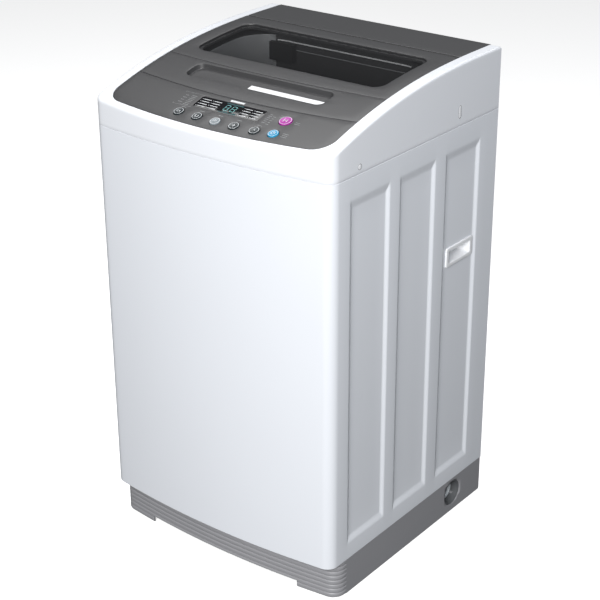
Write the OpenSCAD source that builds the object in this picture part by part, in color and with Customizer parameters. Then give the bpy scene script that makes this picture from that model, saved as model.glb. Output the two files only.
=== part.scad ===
// Compact top load washing machine, built from its separate pieces.
// Millimetres, +Z up, +Y to the rear. The origin is on the floor, under the middle of the machine.
// "Back from the front" distances start at the foremost point of the bowed front.

/* [Body] */
// Overall width
body_w = 515; // [505:5:525]
// Overall depth, from the foremost point of the front to the rear cover
body_d = 520; // [515:5:530]
// Height of the base, from the floor to the cabinet's lower edge
base_h = 74; // [70:1:80]
// Height of the steel cabinet
cab_h = 718; // [714:1:730]
// How far the middle of the front stands ahead of its corners
bow = 19; // [15:1:22]
// Radius of the cabinet's upright front corners
corner_r = 22; // [18:1:26]
// Distance from the front to the cabinet's rear edge
cab_d = 513; // [510:1:514]
// Thickness of the cabinet's steel sheet
sheet = 1; // [0.8:0.1:1.2]

/* [Side pressings] */
// Depth of the tall pressed panels
press_depth = 4; // [2:0.5:5]
// Width of a pressing's sloped side walls
press_run = 9; // [6:1:12]
// Height of a pressing's lower edge
press_low = 106; // [100:1:120]
// Height of a pressing's upper edge
press_high = 754; // [740:1:770]

/* [Base] */
// How far the base's front stands back from the cabinet's front
base_back = 20; // [15:1:24]
// Clearance under the base's corner pads
pad_z = 2; // [2:0.5:4]
// Height of the skirt's lower edge between the pads
skirt_z = 15; // [12:1:18]
// Number of grooves across the front
grooves = 7; // [5:1:8]
// Radius of the drain port in the base's right side
port_r = 26; // [24:0.5:27]
// Distance from the front to the middle of the drain port
port_back = 411; // [400:1:420]

/* [Top] */
// Height of the top above the seam at the front
crown_front = 40; // [36:1:44]
// Height of the top above the seam at the rear
crown_rear = 113; // [108:1:118]
// Width of the white rim beside the dark panels
rim_w = 21.5; // [20:0.5:24]
// Distance from the front to the fascia's front edge
fascia_back = 12; // [10:0.5:14]
// Distance from the front to the line between fascia and lid
lid_back = 98; // [95:1:102]
// Distance from the front to the lid's fold line
fold_back = 184; // [180:1:188]
// Distance from the front to the line between lid and rear deck
deck_back = 413; // [410:1:416]
// Depth of the lids' skirts
lid_skirt = 12; // [11:0.5:13]

/* [Drum] */
// Inner radius of the perforated basket
basket_r = 205; // [200:1:206]
// Height of the basket's floor
basket_z = 356; // [354:1:360]
// Height of the basket's wall
basket_h = 334; // [320:1:336]
// Radius of the pulsator
impeller_r = 172; // [160:1:176]
// Distance between the motor's axis and the drum's axis
motor_off = 150; // [148:1:156]

/* [Hidden] */
$fn = 48;

half_w = body_w / 2;
front_y = -body_d / 2;
rear_y = front_y + cab_d;
seam_z = base_h + cab_h;
dark_w = half_w - rim_w;

// Depth of the shelf that the dark panels lie over, and the thickness of moulded walls
shelf_drop = 18;
wall = 3;

// The top rises from the front along a power curve and runs level behind this distance
crown_reach = 470;
crown_power = 2.45;

// Tilt of the fascia where the buttons are, and the buttons as [across, back from the front, radius]
fascia_tilt = 17.6;
PROGRAM = [-75, 36, 9.5];
LEVEL = [-34, 35, 9.5];
RINSE = [6, 34, 9.5];
SPIN = [46, 34, 9.5];
DELAY = [88, 35, 9.5];
POWER = [122, 74, 11.5];
START = [124, 39, 9.5];
BUTTONS = [PROGRAM, LEVEL, RINSE, SPIN, DELAY, POWER, START];
skin = 3;
button_proud = 1.5;

// Display window in the fascia
display_x = [-64, 75];
display_back = [57, 87];

// Lid hinge and fold: axes as [back from the front, height]
hinge_bead_r = 5;
hinge_back = deck_back - hinge_bead_r;
hinge_y = front_y + hinge_back;
hinge_z = crown_z(hinge_y) - hinge_bead_r;
hinge_pin_r = 3;
fold_axis_back = 192;
fold_y = front_y + fold_axis_back;
fold_z = crown_z(fold_y) - lid_skirt;
knuckle_r = 4;
fold_pin_r = 2;
lid_gap = 1;
window_half = 202;
window_back = [222, 375];
recess_x = [-150, 147];
recess_back = [134, 178];
recess_depth = 9.5;

// Mouth that the laundry goes through
mouth_half = 198;
mouth_back = [118, 398];
mouth_r = 70;
spout_x = [-160, -108];

// Length of the caps and plugs in the top frame, which stand a little proud
plug_h = 4.4;

// Side grips, in the rear pressing
grip_back = 404;
grip_z = 551;
grip_w = 86;
grip_h = 37;
grip_depth = 26;
PRESS_BACK = [[66, 178], [206, 314], [345, 456]];

// Feet
foot_x = 205;
foot_front_y = front_y + 75;
foot_rear_y = front_y + 470;
foot_r = 18;
foot_stem_r = 8;
leveller_r = 5;
running = 0.05;

// Suspension
rod_off = 208;
rod_r = 3.5;
bracket_z = 770;
ball_r = 10;
rod_foot_z = 292;
cup_z = 300;
cup_t = 4;
ear_z = 372;
ear_t = 10;
spring_r = 12;
spring_wire_r = 1.8;

// Tub and drive, from the top down
tub_r = 231;
tub_wall = 3;
tub_floor_z = 330;
tub_top_z = 745;
plate_z = 319;
plate_t = 3;
gearbox_r = 58;
gearbox_z = 200;
housing_r = 30;
spin_tube_r = 20;
output_r = 6;
input_r = 8;
pulley_z = 150;
pulley_h = 16;
big_groove_r = 66;
small_groove_r = 20;
flange = 4;
belt_gap = 0.8;
belt_t = 5;
motor_r = 62;
motor_z = 196;
motor_h = 112;

// Drain: one link is pulled to open the valve and free the brake
link_y = -122;
link_z = 246;
link_t = 4;
lever_pivot = [-20, -72];
lever_arm = 50;
valve_x = 66;
port_z = 42;

function back(d) = front_y + d;

// Height of the top's surface at y
function crown_z(y) = seam_z + crown_rear - (crown_rear - crown_front)
    * pow(max(0, crown_reach - (y - front_y)) / crown_reach, crown_power);

function crown_line(y0, y1, drop, n = 16) =
    [for (i = [0:n]) let (y = y0 + (y1 - y0) * i / n) [y, crown_z(y) - drop]];

function reversed(list) = [for (i = [len(list) - 1:-1:0]) list[i]];

// The bowed front line, moved back by d
function bow_y(x, d) = front_y + d + bow * pow(x / half_w, 2);

// Right half of an outline with a bowed front: half width, distance back, corner radii
function half_plan(hw, d, r, rear, rear_r) =
    let (lean = atan(2 * bow * (hw - r) / pow(half_w, 2)),
         start = hw - r + r * sin(lean),
         middle = bow_y(start, d) + r * cos(lean))
    concat([for (i = [0:8]) [start * i / 8, bow_y(start * i / 8, d)]],
        [for (i = [1:6]) let (a = (lean - 90) * (1 - i / 6)) [hw - r + r * cos(a), middle + r * sin(a)]],
        rear_r > 0 ? [for (i = [0:4]) let (a = 90 * i / 4)
            [hw - rear_r + rear_r * cos(a), rear - rear_r + rear_r * sin(a)]] : [[hw, rear]]);

module plan(hw, d, r, rear, rear_r = 0) {
    h = half_plan(hw, d, r, rear, rear_r);
    polygon(concat(h, [for (i = [len(h) - 1:-1:1]) [-h[i][0], h[i][1]]]));
}

module up(z) translate([0, 0, z]) children();

module both_sides() {
    children();
    mirror([1, 0, 0]) children();
}

module corners() for (sx = [-1, 1], sy = [-1, 1]) translate([sx * rod_off, sy * rod_off, 0]) children();

// Turns an outline drawn in Y and Z into a solid from x0 to x1
module along_x(x0, x1) translate([x0, 0, 0]) rotate([90, 0, 90]) linear_extrude(x1 - x0) children();

// Space between two depths below the top's surface
module crown_slab(top, bottom, y0 = front_y - 5, y1 = -front_y + 5, hw = half_w + 5)
    along_x(-hw, hw) polygon(concat(crown_line(y0, y1, top), reversed(crown_line(y0, y1, bottom))));

// Space from a level up to a depth below the top's surface
module crown_fill(x0, x1, low, drop, y0 = front_y - 5, y1 = -front_y + 5)
    along_x(x0, x1) polygon(concat([[y1, low], [y0, low]], crown_line(y0, y1, drop)));

module round_rect(x0, x1, y0, y1, r) {
    translate([x0 + r, y0]) square([x1 - x0 - 2 * r, y1 - y0]);
    translate([x0, y0 + r]) square([x1 - x0, y1 - y0 - 2 * r]);
    for (x = [x0 + r, x1 - r], y = [y0 + r, y1 - r]) translate([x, y]) circle(r);
}

// Everything ahead of, or behind, a line across the top that curves back by "curve" at its ends
function line_across(d, curve) = [for (i = [-10:10]) let (x = half_w * i / 10)
    [x, back(d) + curve * pow(i / 10, 2)]];
module ahead_of(d, curve) polygon(concat(line_across(d, curve), [[half_w, front_y - 9], [-half_w, front_y - 9]]));
module behind(d, curve) polygon(concat(line_across(d, curve), [[half_w, -front_y + 9], [-half_w, -front_y + 9]]));

lid_curve = 18;
fold_curve = 11;

module column() up(seam_z - 10) linear_extrude(150) children();

module on_fascia(b) translate([b[0], back(b[1]), crown_z(back(b[1]))]) rotate([fascia_tilt, 0, 0]) children();

// A round tube along a list of points
function unit(v) = v / norm(v);
function tangents(p) = [for (i = [0:len(p) - 1]) unit(p[min(i + 1, len(p) - 1)] - p[max(i - 1, 0)])];
function carried(t, u, i = 0) = i == len(t) ? [] :
    let (v = unit(u - (u * t[i]) * t[i])) concat([v], carried(t, v, i + 1));
function smooth(p, n) = concat([for (i = [0:len(p) - 2], s = [0:n - 1])
    let (a = p[max(i - 1, 0)], b = p[i], c = p[i + 1], d = p[min(i + 2, len(p) - 1)], t = s / n)
    0.5 * (2 * b + (c - a) * t + (2 * a - 5 * b + 4 * c - d) * t * t + (3 * b - a - 3 * c + d) * t * t * t)],
    [p[len(p) - 1]]);

module skin_rings(rings, sides, points) polyhedron(points, concat(
    [[for (k = [0:sides - 1]) k]],
    [[for (k = [sides - 1:-1:0]) (rings - 1) * sides + k]],
    [for (i = [0:rings - 2], k = [0:sides - 1]) let (n = (k + 1) % sides)
        [i * sides + k, (i + 1) * sides + k, (i + 1) * sides + n, i * sides + n]]));

module tube(path, r, sides = 10) {
    t = tangents(path);
    u = carried(t, abs(t[0][2]) < 0.9 ? [0, 0, 1] : [1, 0, 0]);
    skin_rings(len(path), sides, [for (i = [0:len(path) - 1], k = [0:sides - 1])
        path[i] + r * (cos(360 * k / sides) * u[i] + sin(360 * k / sides) * cross(t[i], u[i]))]);
}

module coil(r, wire_r, z0, z1, turns) {
    steps = turns * 12;
    sides = 8;
    skin_rings(steps + 1, sides, [for (i = [0:steps], k = [0:sides - 1])
        let (a = 30 * i, b = -360 * k / sides, rr = r + wire_r * cos(b))
        [rr * cos(a), rr * sin(a), z0 + wire_r + (z1 - z0 - 2 * wire_r) * i / steps + wire_r * sin(b)]]);
}

// ---- Casing ----

// One tall pressed panel in the right side, moved by "shift" across
module pressing(b, shift) {
    out = half_w + 1;
    deep = half_w - press_depth;
    over = press_run / press_depth;
    slope_top = 18;
    slope_low = 14;
    translate([shift, 0, 0]) intersection() {
        up(press_low - 20) linear_extrude(press_high - press_low + 40)
            polygon([[out, back(b[0]) - over], [out, back(b[1]) + over],
                [deep, back(b[1]) - press_run], [deep, back(b[0]) + press_run]]);
        translate([0, back(b[1]) + 20, 0]) rotate([90, 0, 0]) linear_extrude(b[1] - b[0] + 40)
            polygon([[out, press_low - 3], [out, press_high + 3],
                [deep, press_high - slope_top], [deep, press_low + slope_low]]);
    }
}

module cabinet() color("white") {
    rear_lip = 18;
    difference() {
        up(base_h) linear_extrude(cab_h) plan(half_w, 0, corner_r, rear_y);
        both_sides() for (b = PRESS_BACK) pressing(b, 0);
        difference() {
            up(base_h - 1) linear_extrude(cab_h + 2)
                plan(half_w - sheet, sheet, corner_r - sheet, rear_y - sheet);
            both_sides() for (b = PRESS_BACK) pressing(b, -sheet);
        }
        translate([-half_w + rear_lip, rear_y - 5, base_h - 1])
            cube([2 * (half_w - rear_lip), 10, cab_h + 2]);
        both_sides() translate([half_w - 20, back(grip_back) - 36, grip_z - 13]) cube([30, 72, 26]);
        screw_places(false) rotate([-90, 0, 0]) cylinder(r = 2, h = 30, center = true);
    }
    // Gussets in the upper corners, which the suspension rods hang from
    difference() {
        up(bracket_z) linear_extrude(2) intersection() {
            plan(half_w - sheet, sheet, corner_r - sheet, rear_y - sheet);
            for (sx = [-1, 1], sy = [-1, 1]) translate([sx * 250, sy * 250]) rotate(45) square(150, center = true);
        }
        corners() up(bracket_z - 1) cylinder(r = 6, h = 4);
    }
}

// Places of the screws in the rear cover, and of those that hold the cabinet to the base
module screw_places(sides) {
    for (sx = [-1, 1], z = [110, 330, 550, 760]) translate([sx * (half_w - 9), rear_y, z]) children();
    if (sides) for (sx = [-1, 1]) translate([sx * 120, rear_y, base_h + 8]) children();
}

module rear_cover() color("white") {
    edge = 2;
    difference() {
        union() {
            translate([-half_w + edge, rear_y, base_h + 1]) cube([2 * (half_w - edge), 1, cab_h - 2]);
            translate([-200, rear_y, 120]) cube([400, body_d - cab_d, 620]);
        }
        translate([-199, rear_y - 1, 121]) cube([398, body_d - cab_d, 618]);
        screw_places(true) rotate([-90, 0, 0]) cylinder(r = 2, h = 30, center = true);
        translate([-170, rear_y - 1, 150]) rotate([-90, 0, 0]) cylinder(r = 12.2, h = 20);
        for (i = [-4:4]) translate([i * 30 - 4, rear_y - 1, 180]) cube([8, 20, 60]);
    }
}

module screws() color("silver") screw_places(true) {
    translate([0, 1, 0]) rotate([-90, 0, 0]) cylinder(r = 4.5, h = 2.4);
    translate([0, -9, 0]) rotate([-90, 0, 0]) cylinder(r = 2, h = 10.5);
}

module base() color("gray") {
    hw = half_w - 0.5;
    deck_z = base_h + 4;
    difference() {
        union() {
            difference() {
                up(pad_z) linear_extrude(deck_z - pad_z) intersection() {
                    plan(hw, base_back, 26, rear_y + 3, 12);
                    plan(hw, base_back, 26, rear_y - 1.5);
                }
                up(pad_z - 1) linear_extrude(deck_z) plan(hw - 4, base_back + 4, 22, rear_y - 6, 8);
                up(base_h) linear_extrude(9) difference() {
                    square(2 * body_d, center = true);
                    plan(half_w - sheet - 0.3, sheet + 0.3, corner_r - sheet, rear_y - 1.5);
                }
            }
            // Ledge inside the cabinet's foot, with its upright locating lip
            up(base_h) linear_extrude(4) difference() {
                plan(half_w - sheet - 0.3, sheet + 0.3, corner_r - sheet, rear_y - 1.5);
                plan(half_w - 22, base_back + 14, 22, rear_y - 20, 8);
            }
            up(base_h) linear_extrude(14) difference() {
                plan(half_w - sheet - 0.3, sheet + 0.3, corner_r - sheet, rear_y - 1.5);
                plan(half_w - sheet - 3, sheet + 3, corner_r - sheet - 3, rear_y - 4.5);
            }
            // Corner pads and cross ribs
            intersection() {
                up(pad_z) linear_extrude(28) plan(hw - 1, base_back + 1, 25, rear_y - 3, 8);
                union() {
                    for (sx = [-1, 1], y = [front_y, rear_y - 85]) translate([sx * 216 - 41, y, 0]) cube([82, 85 + base_back, 40]);
                    for (y = [-100, 96]) translate([-half_w, y, 5]) cube([body_w, 4, 25]);
                }
            }
        }
        // Grooves across the front and round its corners
        for (i = [1:grooves]) up(pad_z + i * (base_h - pad_z) / (grooves + 1) - 1.5) linear_extrude(3)
            intersection() {
                difference() {
                    square(2 * body_d, center = true);
                    plan(hw - 1.6, base_back + 1.6, 24.4, rear_y);
                }
                translate([-body_d, -body_d * 1.5 + back(65)]) square([2 * body_d, body_d * 1.5]);
            }
        // Raised skirt between the pads, front and rear
        translate([-174, front_y, -1]) cube([348, 45, skirt_z + 1]);
        translate([-174, rear_y - 30, -1]) cube([348, 45, skirt_z + 1]);
        feet_places() {
            up(-1) cylinder(r = foot_r + 0.2, h = 5);
            cylinder(r = foot_stem_r, h = 16);
        }
        translate([foot_x, foot_front_y, -1]) {
            cylinder(r = 24, h = 17);
            cylinder(r = leveller_r + running, h = 60);
        }
        translate([half_w - 30, back(port_back), port_z]) rotate([0, 90, 0]) cylinder(r = port_r + 0.2, h = 40);
        screw_places(true) rotate([-90, 0, 0]) cylinder(r = 2.05, h = 30, center = true);
    }
}

module feet_places() for (p = [[-foot_x, foot_front_y], [-foot_x, foot_rear_y], [foot_x, foot_rear_y]])
    translate([p[0], p[1], 0]) children();

module fixed_feet() color("dimgray") feet_places() {
    cylinder(r = foot_r, h = 4);
    cylinder(r = foot_stem_r, h = 16);
}

module leveller_foot() color("dimgray") translate([foot_x, foot_front_y, 0]) {
    cylinder(r = foot_r + 2, h = 6);
    cylinder(r = leveller_r, h = 52);
}

module lock_nut() color("silver") translate([foot_x, foot_front_y, 10]) difference() {
    cylinder(r = 9.5, h = 6, $fn = 6);
    up(-1) cylinder(r = leveller_r + running, h = 8);
}

module bottom_guard() color("darkgray") difference() {
    translate([-165, -185, 3]) cube([330, 370, 2]);
    for (sx = [-1, 1], i = [-5:5]) translate([sx * 90 - 50, i * 28 - 5, 2]) cube([100, 10, 4]);
}

// ---- Top ----

module top_frame() color("white") {
    difference() {
        intersection() {
            column() plan(half_w, 0, corner_r, rear_y);
            crown_fill(-half_w - 5, half_w + 5, seam_z, 0);
        }
        // Pocket for the dark panels
        intersection() {
            column() plan(dark_w, fascia_back, 37, rear_y + 9);
            crown_slab(-9, shelf_drop);
        }
        // Hollow underneath, under the shelf and in the rims
        intersection() {
            column() plan(half_w - wall, wall, corner_r - wall, rear_y - wall);
            union() {
                crown_fill(-dark_w, dark_w, seam_z - 1, shelf_drop + wall);
                both_sides() crown_fill(dark_w + wall, half_w, seam_z - 1, wall);
                both_sides() crown_fill(dark_w - 1, dark_w + wall + 1, seam_z - 1, shelf_drop + wall);
            }
        }
        column() round_rect(-mouth_half, mouth_half, back(mouth_back[0]), back(mouth_back[1]), mouth_r);
        // Well for the control box
        column() round_rect(-168, 168, back(26), back(93), 6);
        // Room for the fold's knuckles and the spout of the inlet box
        both_sides() translate([203, fold_y - 8, fold_z - 8]) cube([26, 16, 12]);
        both_sides() translate([half_w - 30, hinge_y, hinge_z]) rotate([0, 90, 0])
            cylinder(r = hinge_pin_r + running, h = 15);
        plug_places(0.1);
        translate([-165, rear_y - 20, seam_z + 62]) rotate([-90, 0, 0]) cylinder(r = 24, h = 40);
    }
    // Collar round the mouth, notched for the inlet's spout
    difference() {
        intersection() {
            column() difference() {
                round_rect(-mouth_half - wall, mouth_half + wall, back(mouth_back[0] - wall),
                    back(mouth_back[1] + wall), mouth_r + wall);
                round_rect(-mouth_half, mouth_half, back(mouth_back[0]), back(mouth_back[1]), mouth_r);
            }
            crown_fill(-half_w, half_w, seam_z + 4, shelf_drop + 1);
        }
        translate([spout_x[0] - 0.3, back(mouth_back[1] - 10), seam_z + 47.7])
            cube([spout_x[1] - spout_x[0] + 0.6, 16, 34.6]);
    }
}

// Round caps over the frame's screws and oblong plugs, in both sides
module plug_places(extra) both_sides() {
    translate([half_w - 4, back(91), seam_z + 12]) rotate([0, 90, 0]) cylinder(r = 4.5 + extra, h = plug_h);
    for (z = [seam_z + 19, seam_z + 34]) translate([half_w - 4, back(384), z]) rotate([0, 90, 0])
        cylinder(r = 3.5 + extra, h = plug_h);
    translate([half_w - 4, back(384) - 3.5 - extra, seam_z + 19]) cube([plug_h, 7 + 2 * extra, 15]);
}

module frame_plugs() color("whitesmoke") plug_places(0);

// Finger cup in the rear pressing of the right side
module side_grip_right() color("whitesmoke") difference() {
    face = half_w - press_depth;
    union() {
        translate([face, back(grip_back) - grip_w / 2, grip_z - grip_h / 2]) cube([2.5, grip_w, grip_h]);
        translate([face - grip_depth, back(grip_back) - 36, grip_z - 13]) cube([grip_depth + 1, 72, 26]);
    }
    translate([face - grip_depth + 2, back(grip_back) - 34, grip_z - 11]) cube([grip_depth + 9, 68, 22]);
}

module side_grip_left() mirror([1, 0, 0]) side_grip_right();

module fascia_plan(inset) intersection() {
    plan(dark_w - 0.7 - inset, fascia_back + 0.7 + inset, 36.3 - inset, rear_y);
    ahead_of(lid_back - 0.3 - inset, lid_curve);
}

module control_panel() color("dimgray") difference() {
    union() {
        intersection() {
            column() fascia_plan(0);
            crown_slab(0, skin);
        }
        intersection() {
            column() difference() {
                fascia_plan(0);
                fascia_plan(2.5);
            }
            crown_slab(0, shelf_drop);
        }
    }
    column() display_plan(0.2);
    for (b = BUTTONS) on_fascia(b) up(-9) cylinder(r = b[2] + 0.3, h = 14);
}

module display_plan(extra) round_rect(display_x[0] - extra, display_x[1] + extra,
    back(display_back[0] - extra), back(display_back[1] + extra), 3 + extra);

module display_window() color("black") intersection() {
    column() display_plan(0);
    crown_slab(0.3, 4);
}

module on_board() translate([0, back(50), crown_z(back(50))]) rotate([fascia_tilt, 0, 0]) children();

module control_box() color("lightgray") difference() {
    on_board() difference() {
        translate([-164, -24, -42]) cube([328, 60, 22]);
        translate([-162, -22, -40]) cube([324, 56, 30]);
    }
    translate([-170, back(60), seam_z + 20]) rotate([0, 90, 0]) cylinder(r = 4.5, h = 14);
}

module circuit_board() color("green") on_board() {
    translate([-161, -17, -26]) cube([322, 50, 1.6]);
    for (b = BUTTONS) translate([b[0] - 3, (b[1] - 50) / cos(fascia_tilt) - 3, -24.5]) cube([6, 6, 13]);
    translate([display_x[0] + 4, 10, -24.5]) cube([130, 24, 16]);
}

// A push button: cap, retaining flange and stem, drawn along the fascia's normal
module button(b) on_fascia(b) {
    up(-6) cylinder(r = b[2], h = 6 + button_proud);
    up(-6.5) cylinder(r = b[2] + 1.5, h = 1.5);
    up(-9.6) cylinder(r = 2, h = 4);
}

module button_program() color("darkslategray") button(PROGRAM);
module button_level() color("darkslategray") button(LEVEL);
module button_rinse() color("lightslategray") button(RINSE);
module button_spin() color("darkslategray") button(SPIN);
module button_delay() color("darkslategray") button(DELAY);
module button_power() color("mediumvioletred") button(POWER);
module button_start() color("deepskyblue") button(START);

module deck_plan(inset) intersection() {
    plan(dark_w - 0.7 - inset, 100, 5, rear_y - inset);
    behind(deck_back + 0.8 + inset, 0);
}

module rear_deck() color("dimgray") {
    intersection() {
        column() deck_plan(0);
        crown_slab(0, skin);
    }
    intersection() {
        column() difference() {
            deck_plan(0);
            deck_plan(2.5);
        }
        crown_slab(0, shelf_drop);
    }
}

// ---- Lid ----

module rear_half(inset) intersection() {
    plan(dark_w - lid_gap - inset, 60, 5, back(hinge_back) - inset);
    behind(fold_back + 0.5 + inset, fold_curve);
}

module front_half(inset) intersection() {
    plan(dark_w - lid_gap - inset, 60, 5, rear_y);
    ahead_of(fold_back - 0.5 - inset, fold_curve);
    behind(lid_back + 0.7 + inset, lid_curve);
}

module window_plan(extra) round_rect(-window_half - extra, window_half + extra,
    back(window_back[0] - extra), back(window_back[1] + extra), 22 + extra);

module knuckle(x0, x1) translate([x0, fold_y, fold_z]) rotate([0, 90, 0]) cylinder(r = knuckle_r, h = x1 - x0);

// Box cut out of one half to clear the other half's knuckle
module knuckle_room(x0, x1) translate([x0, fold_y - 6.5, fold_z - 6]) cube([x1 - x0, 13, 12]);

module lid_rear() color("dimgray") difference() {
    union() {
        difference() {
            union() {
                intersection() {
                    column() rear_half(0);
                    crown_slab(0, 2.5);
                }
                intersection() {
                    column() difference() {
                        rear_half(0);
                        rear_half(2);
                    }
                    crown_slab(0, lid_skirt);
                }
                intersection() {
                    column() window_plan(8);
                    crown_slab(1, 8);
                }
            }
            both_sides() knuckle_room(207.5, 216.5);
        }
        translate([-dark_w + lid_gap, hinge_y, hinge_z]) rotate([0, 90, 0])
            cylinder(r = hinge_bead_r, h = 2 * (dark_w - lid_gap));
        both_sides() knuckle(216.7, 225);
        both_sides() translate([216.7, fold_y, fold_z]) cube([8.3, 4, 5]);
    }
    // The glass lies in a rebate, over an inner ledge
    intersection() {
        column() window_plan(0.3);
        crown_slab(-3, 4);
    }
    intersection() {
        column() window_plan(-6);
        crown_slab(-3, 12);
    }
    both_sides() translate([216, fold_y, fold_z]) rotate([0, 90, 0]) cylinder(r = fold_pin_r, h = 10);
    both_sides() translate([222, hinge_y, hinge_z]) rotate([0, 90, 0]) cylinder(r = hinge_pin_r, h = 20);
}

module lid_window() color("slategray") intersection() {
    column() window_plan(0);
    crown_slab(0.8, 4);
}

// Hinge pins in the rear corners, and fold pins in the knuckles
module lid_pins() color("silver") both_sides() {
    translate([222, hinge_y, hinge_z]) rotate([0, 90, 0]) cylinder(r = hinge_pin_r, h = 19);
    translate([208, fold_y, fold_z]) rotate([0, 90, 0]) cylinder(r = fold_pin_r, h = 17);
}

module lid_magnet() color("black") translate([dark_w - lid_gap - 6, back(372), crown_z(back(372)) - 10])
    cube([4, 16, 6]);

module recess_plan(extra) round_rect(recess_x[0] - extra, recess_x[1] + extra,
    back(recess_back[0] - extra), back(recess_back[1] + extra), 14 + extra);

module lid_front() color("dimgray") difference() {
    union() {
        difference() {
            union() {
                intersection() {
                    column() front_half(0);
                    crown_slab(0, 2.5);
                }
                intersection() {
                    column() difference() {
                        front_half(0);
                        front_half(2);
                    }
                    crown_slab(0, lid_skirt);
                }
                intersection() {
                    column() intersection() {
                        recess_plan(2);
                        front_half(0);
                    }
                    crown_slab(0, recess_depth + 2);
                }
            }
            both_sides() knuckle_room(216.3, 225.5);
        }
        both_sides() knuckle(208, 216);
        both_sides() translate([208, fold_y - 4, fold_z]) cube([8, 4, 5]);
    }
    intersection() {
        column() recess_plan(0);
        crown_slab(-3, recess_depth);
    }
    both_sides() translate([207, fold_y, fold_z]) rotate([0, 90, 0]) cylinder(r = fold_pin_r + running, h = 10);
}

module handle_trim() color("silver") intersection() {
    column() intersection() {
        translate([-8, back(recess_back[0])]) square([155, 12.5]);
        recess_plan(-0.1);
    }
    crown_slab(0.4, 5);
}

module reed_switch() color("black") translate([dark_w + wall, back(370), crown_z(back(370)) - 12])
    cube([6, 20, 8]);

// ---- Water in, and controls inside ----

module inlet_valve() color("whitesmoke") translate([-165, 0, seam_z + 62]) {
    translate([-25, rear_y - 60, -20]) cube([50, 48, 38]);
    translate([0, rear_y - 14, 0]) rotate([-90, 0, 0]) cylinder(r = 13.2, h = 21);
    translate([10, rear_y - 54, -40]) cylinder(r = 12, h = 22);
    translate([-12, rear_y - 40, -36]) cube([12, 20, 18]);
}

// Distributor under the rear deck, with the spout that pours into the tub
module inlet_box() color("black") difference() {
    union() {
        translate([-162, back(mouth_back[1] + 4), seam_z + 48]) cube([232, 50, 36]);
        translate([spout_x[0], back(mouth_back[1] - 16), seam_z + 48]) cube([spout_x[1] - spout_x[0], 24, 34]);
    }
    translate([-160, back(mouth_back[1] + 6), seam_z + 50]) cube([228, 46, 32]);
    translate([spout_x[0] + 2, back(mouth_back[1] - 14), seam_z + 46]) cube([spout_x[1] - spout_x[0] - 4, 30, 34]);
}

module pressure_switch() color("ivory") translate([190, back(450), seam_z + 60]) {
    cylinder(r = 26, h = 20);
    up(-8) cylinder(r = 4, h = 9);
}

AIR_ROUTE = [[190, back(450), 844], [190, back(450), 834], [190, back(450), 806], [172, back(474), 776],
    [160, back(492), 740], [160, back(494), 600], [160, back(494), 450], [160, back(490), 350],
    [158, back(474), 306], [151, back(440), 292], [148, back(418), 295], [148, back(414), 305],
    [148, back(414), 311], [148, back(414), 317.8]];
module air_tube() color("dimgray") tube(smooth(AIR_ROUTE, 4), 3.5, 8);

module cord_gland() color("black") translate([-170, rear_y, 150]) rotate([-90, 0, 0]) difference() {
    union() {
        up(-6) cylinder(r = 8.8, h = 12);
        up(2.8) cylinder(r = 15, h = 3);
        up(2.8) cylinder(r = 12, h = body_d - cab_d - 2.8);
    }
    up(-10) cylinder(r = 4.2, h = 30);
}

HARNESS_ROUTE = [[-158, back(60), seam_z + 20], [-200, back(64), seam_z + 18], [-240, back(100), seam_z + 14],
    [-246, back(160), seam_z + 14], [-246, back(290), seam_z + 12], [-246, back(326), seam_z - 14],
    [-246, back(330), 730], [-246, back(330), 500], [-246, back(330), 300], [-240, back(380), 230],
    [-215, back(450), 180], [-186, back(490), 156], [-172, back(502), 152]];
module wiring_harness() color("black") tube(smooth(HARNESS_ROUTE, 4), 4, 8);

module capacitor() color("lightgray") translate([150, rear_y - 26, 200]) {
    cylinder(r = 22, h = 70);
    translate([-26, 20, 10]) cube([52, 6, 50]);
}

// ---- Suspension ----

module suspension_rods() color("silver") corners() {
    up(rod_foot_z) cylinder(r = rod_r, h = bracket_z + 10 - rod_foot_z);
    up(bracket_z + 10) sphere(r = ball_r);
    up(rod_foot_z) cylinder(r = 7, h = cup_z - rod_foot_z);
}

module spring_cups() color("dimgray") corners() difference() {
    union() {
        up(cup_z) cylinder(r = 20, h = cup_t);
        up(cup_z) cylinder(r = 9.5, h = cup_t + 10);
    }
    up(cup_z - 1) cylinder(r = rod_r + running, h = 30);
}

module suspension_springs() color("gray") corners()
    coil(spring_r, spring_wire_r, cup_z + cup_t, ear_z, 8);

// ---- Tub ----

module ring(r0, r1, z0, z1) rotate_extrude($fn = 96) translate([r0, z0]) square([r1 - r0, z1 - z0]);

module outer_tub() color("whitesmoke") difference() {
    union() {
        ring(tub_r - tub_wall, tub_r, tub_floor_z, tub_top_z);
        ring(40, tub_r - 1, tub_floor_z, tub_floor_z + 4);
        ring(tub_r - 1, tub_r + 6, tub_top_z - 6, tub_top_z);
        ring(60, 66, plate_z + plate_t, tub_floor_z + 1);
        ring(150, 156, plate_z + plate_t, tub_floor_z + 1);
        for (a = [45:90:315]) rotate(a) translate([tub_r - 2.5, -22, ear_z]) cube([rod_off * sqrt(2) - tub_r, 44, ear_t]);
        for (a = [45:90:315]) rotate(a) translate([rod_off * sqrt(2), 0, ear_z]) cylinder(r = 22, h = ear_t);
        translate([148, back(414), 318]) cylinder(r = 8, h = 14);
    }
    corners() up(ear_z - 1) cylinder(r = 8, h = ear_t + 2);
    translate([valve_x + 34, link_y, plate_z]) cylinder(r = 14, h = 30);
    translate([148, back(414), 310]) cylinder(r = 2.5, h = 30);
}

module tub_ring() color("lightgray") {
    ring(186, tub_r + 6, tub_top_z, tub_top_z + 4);
    ring(186, 190, tub_top_z - 8, tub_top_z + 12);
}

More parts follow.
